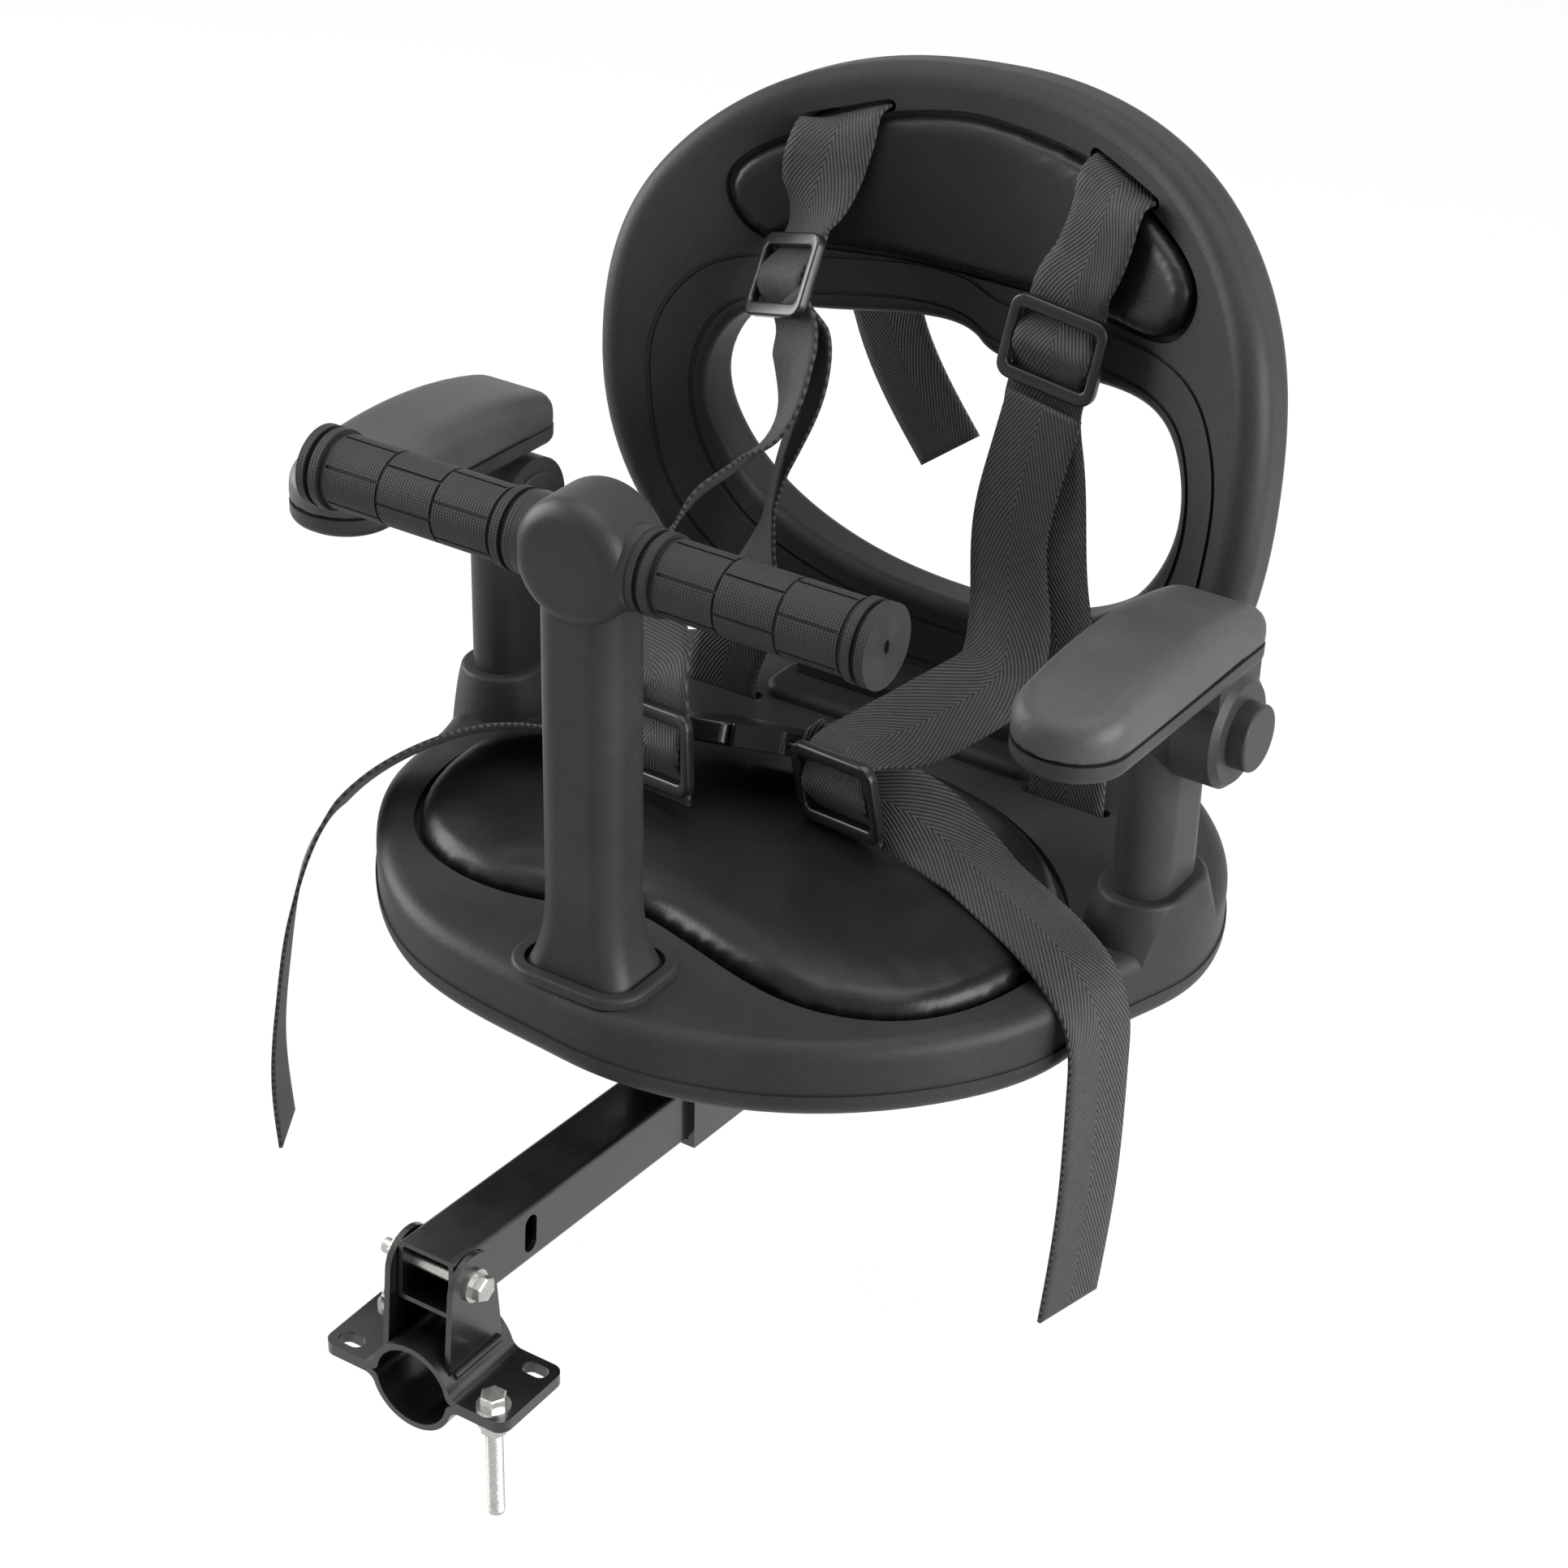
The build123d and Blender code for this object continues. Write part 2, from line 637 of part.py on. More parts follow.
# Handlebar: flared post, two hub shells, bar and grips
with BuildPart() as handlebar_post:
    for high, grow in ((1, 0), (0.5, 0.12), (0.2, 0.5), (0, 1)):
        with BuildSketch(Plane.XY.offset(board_top + high * post_flare_high)):
            with Locations((0, bar_y)):
                RectangleRounded(
                    post_w + grow * (post_base_w - post_w), post_d + grow * (post_base_d - post_d), post_corner_r)
    loft()
    with BuildSketch(Plane.XY.offset(board_top + post_flare_high)):
        with Locations((0, bar_y)):
            RectangleRounded(post_w, post_d, post_corner_r)
    extrude(amount=bar_z - post_top_down - board_top - post_flare_high)
    with BuildSketch(Plane.XY.offset(board_top)):
        with Locations((0, bar_y)):
            RectangleRounded(post_plug_w, post_plug_d, 6)
    extrude(amount=-post_plug_deep)
    with BuildSketch(Plane.XY.offset(board_top - post_plug_deep)):
        with Locations((0, bar_y)):
            Circle(m6_hole_r)
    extrude(amount=upright_bolt_len, mode=Mode.SUBTRACT)
handlebar_post.part.label = "handlebar_post"
export_step(handlebar_post.part, "parts/handlebar_post.step")

hub_plane = Plane((0, bar_y, bar_z), x_dir=(1, 0, 0), z_dir=(0, -1, 0))
screw_places = [(hub_screw_x, hub_screw_z), (-hub_screw_x, hub_screw_z)]


def hub_half(front):
    """One of the two shells that grip the bar on top of the post."""
    with BuildPart() as shell:
        with BuildSketch(hub_plane):
            Circle(hub_r)
        extrude(amount=hub_depth / 2, both=True)
        fillet(shell.edges().filter_by(GeomType.CIRCLE), hub_round)
        with Locations((0, bar_y, bar_z)):
            Cylinder(hub_boss_r, 2 * hub_boss, rotation=(0, 90, 0))
            Cylinder(bar_r + hub_fit, 2 * hub_boss, rotation=(0, 90, 0), mode=Mode.SUBTRACT)
        with BuildSketch(Plane.XY.offset(bar_z - post_top_down)):
            with Locations((0, bar_y)):
                RectangleRounded(post_w + 2 * post_fit, post_d + 2 * post_fit, post_corner_r)
        extrude(amount=-hub_r, mode=Mode.SUBTRACT)
        with BuildSketch(hub_plane.offset(hub_screw_deep)):
            with Locations(screw_places):
                Circle(hub_screw_r + hub_fit)
        extrude(amount=-hub_depth, mode=Mode.SUBTRACT)
        with BuildSketch(hub_plane.offset(-hub_screw_deep)):
            with Locations(screw_places):
                Circle(hub_screw_head_r + hub_fit)
        extrude(amount=-hub_depth, mode=Mode.SUBTRACT)
        split(bisect_by=hub_plane, keep=Keep.TOP if front else Keep.BOTTOM)
    return shell.part


with BuildPart() as hub_front_shell:
    add(hub_half(True))
hub_front_shell.part.label = "hub_front_shell"
export_step(hub_front_shell.part, "parts/hub_front_shell.step")

with BuildPart() as hub_rear_shell:
    add(hub_half(False))
hub_rear_shell.part.label = "hub_rear_shell"
export_step(hub_rear_shell.part, "parts/hub_rear_shell.step")

with BuildPart() as hub_screws:
    with BuildSketch(hub_plane.offset(-hub_screw_deep)):
        with Locations(screw_places):
            Circle(hub_screw_head_r)
    extrude(amount=-hub_screw_r)
    with BuildSketch(hub_plane.offset(-hub_screw_deep)):
        with Locations(screw_places):
            Circle(hub_screw_r)
    extrude(amount=2 * hub_screw_deep - 1)
hub_screws.part.label = "hub_screws"
export_step(hub_screws.part, "parts/hub_screws.step")

with BuildPart() as handlebar:
    with Locations((0, bar_y, bar_z)):
        Cylinder(bar_r, 2 * bar_half, rotation=(0, 90, 0))
handlebar.part.label = "handlebar"
export_step(handlebar.part, "parts/handlebar.step")

ring_step = grip_ring_w + grip_neck_w
body_in = hub_boss + 2 * ring_step
body_out = grip_end - 2 * ring_step
panel = (body_out - body_in) / 3

with BuildPart() as right_grip:
    with BuildSketch(Plane.XZ):
        with Locations(((hub_boss + grip_end) / 2, 0)):
            Rectangle(grip_end - hub_boss, grip_r, align=(Align.CENTER, Align.MIN))
        for start in (hub_boss, hub_boss + ring_step, grip_end - grip_ring_w, grip_end - grip_ring_w - ring_step):
            with Locations((start, 0)):
                Rectangle(grip_ring_w, grip_ring_r, align=(Align.MIN, Align.MIN))
        for start in (hub_boss + grip_ring_w, body_in - grip_neck_w, body_out, grip_end - ring_step):
            with Locations((start, grip_neck_r)):
                Rectangle(grip_neck_w, grip_ring_r, align=(Align.MIN, Align.MIN), mode=Mode.SUBTRACT)
        for start in (body_in + panel, body_in + 2 * panel):
            with Locations((start, grip_r - grip_line_deep)):
                Rectangle(grip_line_w, grip_r, align=(Align.CENTER, Align.MIN), mode=Mode.SUBTRACT)
        with Locations((hub_boss, 0)):
            Rectangle(
                bar_half - hub_boss + grip_fit, bar_r + grip_fit, align=(Align.MIN, Align.MIN), mode=Mode.SUBTRACT)
    revolve(axis=Axis.X)
    for third in range(3):
        for k in range(grip_panels):
            turn = (k + 0.5 * (third % 2)) * 360 / grip_panels
            with Locations(Rot(turn, 0, 0) * Pos(body_in + (third + 0.5) * panel, 0, grip_r)):
                Box(panel - grip_line_w, grip_line_w, 2 * grip_line_deep, mode=Mode.SUBTRACT)
    with BuildSketch(Plane.YZ.offset(grip_end)):
        SlotOverall(5, 3, rotation=90)
    extrude(amount=-grip_end + bar_half, mode=Mode.SUBTRACT)

with BuildPart() as right_grip_placed:
    add(Pos(0, bar_y, bar_z) * right_grip.part)
right_grip_placed.part.label = "right_grip"
export_step(right_grip_placed.part, "parts/right_grip.step")

with BuildPart() as left_grip:
    add(mirror(right_grip_placed.part, about=Plane.YZ, mode=Mode.PRIVATE))
left_grip.part.label = "left_grip"
export_step(left_grip.part, "parts/left_grip.step")

# Armrests: an upright with a knuckle, a base shell that turns on it, a pad and a pivot
knuckle_plane = Plane((knuckle_in, arm_y, arm_z), x_dir=(0, 1, 0), z_dir=(1, 0, 0))
barrel_plane = Plane((barrel_in, arm_y, arm_z), x_dir=(0, 1, 0), z_dir=(1, 0, 0))
stop_arc = CenterArc((0, 0), stop_at, -90, arm_swing)

with BuildPart() as right_upright:
    with BuildSketch(Plane.XY.offset(socket_z)):
        with Locations((post_x, arm_y)):
            SlotOverall(upright_l, upright_w, rotation=90)
    extrude(amount=arm_z - socket_z)
    with BuildSketch(knuckle_plane):
        Circle(knuckle_r)
    extrude(amount=upright_w)
    with BuildSketch(knuckle_plane):
        Circle(pin_r + pin_fit)
    extrude(amount=upright_w, mode=Mode.SUBTRACT)
    with BuildSketch(knuckle_plane.offset(upright_w)):
        with Locations((0, -stop_at)):
            Circle(stop_r + pin_fit)
    extrude(amount=-stop_deep, mode=Mode.SUBTRACT)
    with BuildSketch(Plane.XY.offset(socket_z)):
        with Locations((post_x, arm_y)):
            Circle(m6_hole_r)
    extrude(amount=upright_bolt_len, mode=Mode.SUBTRACT)

with BuildPart() as right_pivot_cover:
    with BuildSketch(knuckle_plane):
        Circle(cover_r)
    extrude(amount=-cover_t)
    chamfer(right_pivot_cover.edges().group_by(Axis.X)[0], 0.6)

with BuildPart() as right_pivot_pin:
    with BuildSketch(knuckle_plane):
        Circle(pin_r)
    extrude(amount=barrel_end - knuckle_in)

with BuildPart() as right_stop_pin:
    with BuildSketch(knuckle_plane.offset(upright_w - stop_deep)):
        with Locations((0, -stop_at)):
            Circle(stop_r)
    extrude(amount=2 * stop_deep)

with BuildPart() as hub_barrel:
    with BuildSketch(barrel_plane):
        Circle(barrel_r)
    extrude(amount=barrel_end - barrel_in)
    chamfer(hub_barrel.edges().group_by(Axis.X)[-1], barrel_chamfer)

with BuildPart() as right_armrest_base:
    with BuildSketch(arm_plane.offset(arm_under)) as plan:
        with Locations((0, (arm_rear - arm_front) / 2)):
            Rectangle(arm_w, arm_front + arm_rear)
        fillet(plan.vertices().group_by(Axis.Y)[0], arm_w / 2 - 1)
        fillet(plan.vertices().group_by(Axis.Y)[-1], arm_rear_r)
    extrude(amount=arm_base_t)
    under_faces = [f for f in right_armrest_base.faces() if f.normal_at().Z < -0.8]
    fillet(under_faces[0].edges(), arm_base_round)
    add(hub_barrel.part)
    with BuildSketch(arm_side.offset(barrel_in - arm_x)):
        Rectangle(1.5 * barrel_r, arm_under + arm_base_t / 2, align=(Align.CENTER, Align.MIN))
    extrude(amount=barrel_end - barrel_in - barrel_chamfer)
    with BuildSketch(barrel_plane):
        Circle(pin_r + pin_fit)
    extrude(amount=barrel_end - barrel_in, mode=Mode.SUBTRACT)
    with BuildSketch(barrel_plane):
        SlotArc(stop_arc, 2 * (stop_r + stop_gap))
    extrude(amount=stop_deep, mode=Mode.SUBTRACT)

with BuildPart() as right_armrest_pad:
    with BuildSketch(arm_plane.offset(arm_under + arm_base_t)) as plan:
        with Locations((0, (arm_rear - arm_front) / 2)):
            Rectangle(arm_w, arm_front + arm_rear)
        fillet(plan.vertices().group_by(Axis.Y)[0], arm_w / 2 - 1)
        fillet(plan.vertices().group_by(Axis.Y)[-1], arm_rear_r)
    extrude(amount=40)
    with BuildSketch(arm_side.offset(-arm_w)):
        with BuildLine():
            pad_z = arm_under + arm_base_t
            crown = Spline(
                (-arm_front - 1, pad_z + 12), (-arm_front + 22, pad_z + 18), (-arm_front + 62, pad_z + 22),
                (-arm_rear, pad_z + 20), (arm_rear + 1, pad_z + 11.5))
            Polyline(crown @ 1, (arm_rear + 1, pad_z), (-arm_front - 1, pad_z), crown @ 0)
        make_face()
    extrude(amount=2 * arm_w, mode=Mode.INTERSECT)
    top_faces = [f for f in right_armrest_pad.faces() if f.normal_at().Z > 0.8]
    fillet(top_faces[0].edges(), arm_pad_round)

with BuildPart() as right_pivot_cap:
    with BuildSketch(barrel_plane.offset(barrel_end - barrel_in)):
        Circle(cap_r)
    extrude(amount=cap_t)
    fillet(right_pivot_cap.edges().group_by(Axis.X)[-1], 1.2)

armrest_parts = {
    "upright": right_upright, "pivot_cover": right_pivot_cover, "pivot_pin": right_pivot_pin,
    "stop_pin": right_stop_pin, "armrest_base": right_armrest_base, "armrest_pad": right_armrest_pad,
    "pivot_cap": right_pivot_cap}
for word, piece in armrest_parts.items():
    piece.part.label = "right_" + word
    export_step(piece.part, "parts/right_" + word + ".step")
    with BuildPart() as left_piece:
        add(mirror(piece.part, about=Plane.YZ, mode=Mode.PRIVATE))
    left_piece.part.label = "left_" + word
    export_step(left_piece.part, "parts/left_" + word + ".step")

# Harness: webbing through the backrest, down to the seat, and a lap strap to the buckle on each side
buckle_place = Plane((-25.6, 229.5, 150), x_dir=(0.956, 0.292, 0), z_dir=(-0.152, 0.499, 0.853))
plug_end = prong_gap + plug_body
along_x = (1, 0, 0)
slot_across = (cos(radians(strap_slot_turn)), 0, -sin(radians(strap_slot_turn)))
slot_across_left = (slot_across[0], 0, -slot_across[2])

wrap_right = (0.96, -0.27, 0)
wrap_left = (0.96, 0.29, 0)
twisted = (0.83, -0.47, 0.29)
turned = (-0.25, 0.82, -0.52)
edge_on = (-0.5, 0.68, -0.53)
hanging = (-0.54, 0.84, 0)
side_edge = (0.2, 0.98, 0)
right_shoulder = [
    ((62, 389, 298), wrap_right), ((62, 390, 344), wrap_right), ((62.5, 390, 356), wrap_right),
    ((62.5, 385, 362.8), slot_across), ((62.5, 372, 364.8), slot_across), ((62.5, 355, 364.4), slot_across),
    ((62, 346.5, 359.5), wrap_right), ((61, 342.5, 349), wrap_right), ((55, 341.5, 331), wrap_right),
    ((50.9, 340, 318), along_x), ((48.5, 337, 299), along_x), ((46.1, 334, 280), along_x),
    ((50, 330, 255), along_x), ((60, 322, 205), along_x), ((76, 312, 162), along_x),
    ((83, 305, 140), along_x), ((anchor_x, 303.4, 126), along_x), ((anchor_x, anchor_y, 108), along_x)]
left_shoulder = [
    ((-28, 391, 214), slot_across_left), ((-61, 391, 268), slot_across_left), ((-67, 391, 312), wrap_left),
    ((-64, 391, 343), wrap_left), ((-62.5, 390.5, 356), wrap_left), ((-62.5, 385, 362.8), slot_across_left),
    ((-62.5, 372, 364.8), slot_across_left), ((-62.5, 355, 364.4), slot_across_left),
    ((-62.5, 346.5, 359.5), wrap_left), ((-64, 341.5, 349), wrap_left), ((-63.8, 333, 337), along_x),
    ((-65, 325, 324), twisted), ((-69.5, 322.5, 305), twisted), ((-74, 320, 286), twisted),
    ((-82, 319.5, 256), (0.68, -0.72, 0.15)), ((-88, 316, 222), (0.55, -0.83, 0)), ((-90, 311, 186), (0.6, -0.8, 0)),
    ((-88, 306.5, 158), (0.85, -0.5, 0)), ((-86, 304.3, 140), along_x), ((-anchor_x, 303.2, 126), along_x),
    ((-anchor_x, anchor_y, 108), along_x)]
right_lap = [
    ((49, 328.5, 278), along_x), ((50, 322, 240), along_x), ((60, 311, 206), (0.9, 0.2, 0.4)),
    ((71, 294, 197), (0.4, 0.35, 0.85)), ((64, 270, 193), (0.3, 0.25, 0.9)), ((53, 249, 186), (0.6, 0.2, 0.75)),
    ((43, 231, 176), (0.85, 0.05, 0.4)), ((36.9, 217.4, 161.5), along_x), ((33.9, 212.7, 154.5), along_x),
    ((31, 208, 147.5), along_x), ((26.4, 200.7, 136.5), along_x)]
left_lap = [
    ((-58, 321, 274), twisted), ((-59, 317, 252), (0.68, -0.72, 0.15)), ((-60, 308, 232), (0.6, -0.78, 0.2)),
    ((-63, 292, 215), (0.62, -0.55, 0.55)), ((-72, 277, 203), (0.64, -0.4, 0.65)), ((-84, 265, 196), (0.65, -0.25, 0.7)),
    ((-86, 252, 191), (0.65, -0.1, 0.75)), ((-77, 236, 187), (0.6, 0.13, 0.78)), ((-56, 214, 179), (0.85, 0.25, 0.45)),
    ((-45.2, 201.7, 167.4), along_x), ((-41.6, 195.7, 157.7), along_x), ((-38, 189.7, 148), along_x),
    ((-33.9, 182.9, 137), along_x)]
right_tail = [
    ((52, 229.5, 136.5), (0.35, 0.93, 0)), ((74, 224, 134.5), (0.4, 0.9, 0)), ((96, 216, 134.5), (0.4, 0.9, 0)),
    ((128, 201, 132.5), (0.4, 0.9, 0)), ((150, 191, 127), (0.35, 0.93, 0)), ((163, 186, 115), side_edge),
    ((167, 184, 92), side_edge), ((167.5, 182, 36), side_edge), ((164, 180, -18), side_edge)]
left_tail = [
    ((-82, 206, 141.2), edge_on), ((-96, 203, 141.2), edge_on), ((-114, 194, 142), edge_on),
    ((-136, 166, 138.5), edge_on), ((-152, 132, 123), edge_on), ((-162, 116, 90), hanging), ((-168, 110, 46), hanging),
    ((-171, 107, 4), hanging), ((-167, 105, -28), hanging)]
right_buckle_strap = [
    (buckle_place.from_local_coords((plug_end - mouth_deep + mouth_gap, 0, 0)), turned),
    (buckle_place.from_local_coords((plug_end, 0, 0)), turned),
    (buckle_place.from_local_coords((plug_end + 5, 0, 0)), turned), ((8.5, 239.4, 149.7), turned),
    ((16, 236.5, 148.3), (-0.5, 0.7, -0.3)), ((21.5, 232, 147), (-0.8, 0.4, 0.1)),
    ((24.5, 227, 146.5), (-0.94, 0.18, 0.27))]
left_buckle_strap = [
    (buckle_place.from_local_coords((-socket_len + mouth_deep - mouth_gap, 0, 0)), turned),
    (buckle_place.from_local_coords((-socket_len, 0, 0)), turned), ((-66, 217.2, 149.6), turned),
    ((-71.5, 215, 146.5), turned), ((-73, 213.5, 141.5), turned)]
straps = {
    "right_shoulder_strap": right_shoulder, "left_shoulder_strap": left_shoulder, "right_lap_strap": right_lap,
    "left_lap_strap": left_lap, "right_lap_tail": right_tail, "left_lap_tail": left_tail,
    "right_buckle_strap": right_buckle_strap, "left_buckle_strap": left_buckle_strap}
for word, stations in straps.items():
    with BuildPart() as strap_piece:
        add(ribbon(stations, 4))
    strap_piece.part.label = word
    export_step(strap_piece.part, "parts/" + word + ".step")

slider_places = {
    "right_shoulder_slider": face_on(right_shoulder, 10), "left_shoulder_slider": face_on(left_shoulder, 12),
    "right_waist_slider": face_on(right_lap, 9), "left_waist_slider": face_on(left_lap, 11)}
for word, place in slider_places.items():
    with BuildPart() as slider_piece:
        add(slider(place))
    slider_piece.part.label = word
    export_step(slider_piece.part, "parts/" + word + ".step")

# Side-release buckle, held up between the waist sliders
socket_back = buckle_place.offset(-buckle_t / 2)
prong_back = buckle_place.offset(-prong_t / 2)
mouth_back = buckle_place.offset(-webbing_t / 2 - mouth_gap)

with BuildPart() as buckle_socket:
    with BuildSketch(socket_back):
        with Locations((-socket_len / 2, 0)):
            RectangleRounded(socket_len, buckle_w, 4)
    extrude(amount=buckle_t)
    fillet(buckle_socket.edges().group_by(SortBy.LENGTH)[-1], 1.2)
    with BuildSketch(buckle_place.offset(-prong_t / 2 - prong_gap)):
        Rectangle(prong_len + prong_gap, buckle_w - 8, align=(Align.MAX, Align.CENTER))
    extrude(amount=prong_t + 2 * prong_gap, mode=Mode.SUBTRACT)
    with BuildSketch(mouth_back):
        with Locations((-socket_len + mouth_deep, 0)):
            Rectangle(2 * mouth_deep, webbing_w + 2 * mouth_gap, align=(Align.MAX, Align.CENTER))
    extrude(amount=webbing_t + 2 * mouth_gap, mode=Mode.SUBTRACT)
buckle_socket.part.label = "buckle_socket"
export_step(buckle_socket.part, "parts/buckle_socket.step")

with BuildPart() as buckle_plug:
    with BuildSketch(socket_back):
        with Locations((prong_gap + plug_body / 2, 0)):
            RectangleRounded(plug_body, buckle_w, 3)
    extrude(amount=buckle_t)
    with BuildSketch(mouth_back):
        with Locations((plug_end - mouth_deep, 0)):
            Rectangle(2 * mouth_deep, webbing_w + 2 * mouth_gap, align=(Align.MIN, Align.CENTER))
    extrude(amount=webbing_t + 2 * mouth_gap, mode=Mode.SUBTRACT)
    with BuildSketch(prong_back):
        with Locations((2, 0), (2, buckle_w / 2 - 8), (2, -buckle_w / 2 + 8)):
            Rectangle(prong_len + 1, 5, align=(Align.MAX, Align.CENTER))
    extrude(amount=prong_t)
buckle_plug.part.label = "buckle_plug"
export_step(buckle_plug.part, "parts/buckle_plug.step")
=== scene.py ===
# %% [markdown]
# # A child's front bicycle seat
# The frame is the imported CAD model. Every rigid piece is in it already, at its real size and in its
# real place. This lesson gives those pieces their finishes, remakes the pads and the webbing as soft
# goods, and then sets the light and the camera.

# %% Load the frame
import json
from math import cos, pi, radians, sin

import bmesh
import bpy
import numpy as np
from mathutils import Matrix, Vector


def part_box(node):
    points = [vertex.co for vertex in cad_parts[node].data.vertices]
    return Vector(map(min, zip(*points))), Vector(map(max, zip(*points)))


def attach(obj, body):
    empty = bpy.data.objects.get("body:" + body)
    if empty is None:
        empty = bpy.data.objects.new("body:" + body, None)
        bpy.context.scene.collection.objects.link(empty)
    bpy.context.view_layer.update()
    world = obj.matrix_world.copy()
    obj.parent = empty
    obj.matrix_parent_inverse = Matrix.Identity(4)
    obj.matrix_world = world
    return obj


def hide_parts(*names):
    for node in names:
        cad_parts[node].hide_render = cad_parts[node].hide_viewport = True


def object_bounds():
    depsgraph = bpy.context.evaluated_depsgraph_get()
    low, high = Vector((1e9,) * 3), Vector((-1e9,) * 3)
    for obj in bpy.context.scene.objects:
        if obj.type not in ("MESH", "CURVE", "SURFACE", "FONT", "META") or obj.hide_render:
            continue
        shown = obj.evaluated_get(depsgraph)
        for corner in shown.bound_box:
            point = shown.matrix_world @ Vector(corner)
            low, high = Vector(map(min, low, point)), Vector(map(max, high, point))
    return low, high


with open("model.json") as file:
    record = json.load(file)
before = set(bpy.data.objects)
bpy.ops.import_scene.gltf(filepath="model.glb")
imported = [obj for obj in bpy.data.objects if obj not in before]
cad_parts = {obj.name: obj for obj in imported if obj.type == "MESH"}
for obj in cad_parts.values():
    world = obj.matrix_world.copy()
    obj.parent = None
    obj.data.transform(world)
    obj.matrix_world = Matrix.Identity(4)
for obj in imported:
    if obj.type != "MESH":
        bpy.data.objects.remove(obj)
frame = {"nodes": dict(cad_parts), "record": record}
nodes = frame["nodes"]
cad_low, cad_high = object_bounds()
MM = 0.001
print("CAD box in mm:", [round((b - a) / MM) for a, b in zip(cad_low, cad_high)])

# %% [markdown]
# ## Colours and nodes
# Colours are easiest to read as hex codes, as a paint chart gives them. A shader wants linear light, so
# one function turns them. A second small function adds any node with its settings and its links, which
# keeps each material short enough to read as a recipe. The last one puts a new piece into the scene.

# %% Helpers
def linear(code):
    """A hex colour as the linear values that a shader takes."""
    parts = [int(code[i:i + 2], 16) / 255 for i in (1, 3, 5)]
    return [p / 12.92 if p <= 0.04045 else ((p + 0.055) / 1.055) ** 2.4 for p in parts] + [1.0]


def add(tree, kind, inputs=None, **settings):
    """Adds a shader node with its settings, and sets or links its inputs."""
    made = tree.nodes.new("ShaderNode" + kind)
    for name, value in settings.items():
        setattr(made, name, value)
    for name, value in (inputs or {}).items():
        if isinstance(value, bpy.types.NodeSocket):
            tree.links.new(value, made.inputs[name])
        else:
            made.inputs[name].default_value = value
    return made


def start(name, sockets):
    """A new material with one shader: gives the tree, the shader and the place of a point in metres."""
    material = bpy.data.materials.new(name)
    material.use_nodes = True
    tree = material.node_tree
    tree.nodes.clear()
    shader = add(tree, "BsdfPrincipled", sockets)
    add(tree, "OutputMaterial", {"Surface": shader.outputs["BSDF"]})
    place = add(tree, "TexCoord").outputs["Object"]
    return material, tree, shader, place


def wire(tree, shader, colour, bump, polish=None):
    """Links a recipe's colour, relief and polish to its shader."""
    tree.links.new(colour.outputs["Color"], shader.inputs["Base Color"])
    tree.links.new(bump.outputs["Normal"], shader.inputs["Normal"])
    if polish:
        tree.links.new(polish.outputs["Result"], shader.inputs["Roughness"])


def linked(name, data):
    """A new object with this data, put into the scene."""
    piece = bpy.data.objects.new(name, data)
    bpy.context.scene.collection.objects.link(piece)
    return piece


# %% [markdown]
# ## Moulded finishes
# The seat board and the backrest are integral skin polyurethane foam, and the uprights and the post are
# nylon. Both come out of a mould, so they share one recipe: slow clouds in the colour, where the skin is
# a little thicker or thinner, and a fine grain copied from the mould's surface. Only the sizes differ.

# %% Moulded foam and plastics
GRAIN_SHARE = 0.25
POLISH_SWING = 0.07


def moulded(name, dark, light, rough, cloud, grain, relief, sockets):
    """A moulded skin: cloud and grain are sizes in mm, relief is the grain's height in mm."""
    material, tree, shader, place = start(name, sockets)
    clouds = add(tree, "TexNoise", {"Vector": place, "Scale": 1 / (cloud * MM), "Detail": 4.0})
    pebbles = add(tree, "TexNoise", {"Vector": place, "Scale": 1 / (grain * MM), "Detail": 3.0})
    spread = add(tree, "MapRange", {"Value": clouds.outputs["Fac"], "From Min": 0.3, "From Max": 0.7})
    tone = add(tree, "MixRGB", {
        "Fac": spread.outputs["Result"], "Color1": linear(dark), "Color2": linear(light)})
    specks = add(tree, "MixRGB", {
        "Fac": GRAIN_SHARE, "Color1": tone.outputs["Color"],
        "Color2": pebbles.outputs["Fac"]}, blend_type="OVERLAY")
    polish = add(tree, "MapRange", {
        "Value": clouds.outputs["Fac"], "To Min": rough - POLISH_SWING, "To Max": rough + POLISH_SWING})
    bump = add(tree, "Bump", {"Height": pebbles.outputs["Fac"], "Distance": relief * MM, "Strength": 1.0})
    wire(tree, shader, specks, bump, polish)
    return material


foam_skin = moulded(
    "integral skin polyurethane foam", dark="#212122", light="#29292a", rough=0.48, cloud=60, grain=1.6,
    relief=0.10, sockets={"IOR": 1.5, "Specular IOR Level": 0.14})
arm_skin = moulded(
    "soft polyurethane foam, armrest", dark="#2d2d2e", light="#373738", rough=0.48, cloud=45, grain=1.4,
    relief=0.10, sockets={"IOR": 1.5, "Specular IOR Level": 0.25})
pad_skin = moulded(
    "satin vinyl pad skin", dark="#0d0d0e", light="#131314", rough=0.36, cloud=50, grain=1.2,
    relief=0.07, sockets={"IOR": 1.52, "Specular IOR Level": 0.20})
nylon = moulded(
    "glass filled nylon, spark eroded", dark="#202021", light="#2a2a2b", rough=0.44, cloud=40, grain=1.1,
    relief=0.06, sockets={"IOR": 1.53, "Specular IOR Level": 0.15})
acetal = moulded(
    "acetal, semi gloss", dark="#0f0f10", light="#171718", rough=0.30, cloud=25, grain=1.0,
    relief=0.03, sockets={"IOR": 1.48, "Specular IOR Level": 0.35})
print("moulded finishes:", [m.name for m in (foam_skin, arm_skin, pad_skin, nylon, acetal)])

# %% [markdown]
# ## Enamel, zinc and drawn steel
# The clamp and the square tube are stoved black enamel: a gloss coat over steel, with a faint orange peel.
# The bolts are zinc plated, a pale metal with tiny changes of polish.

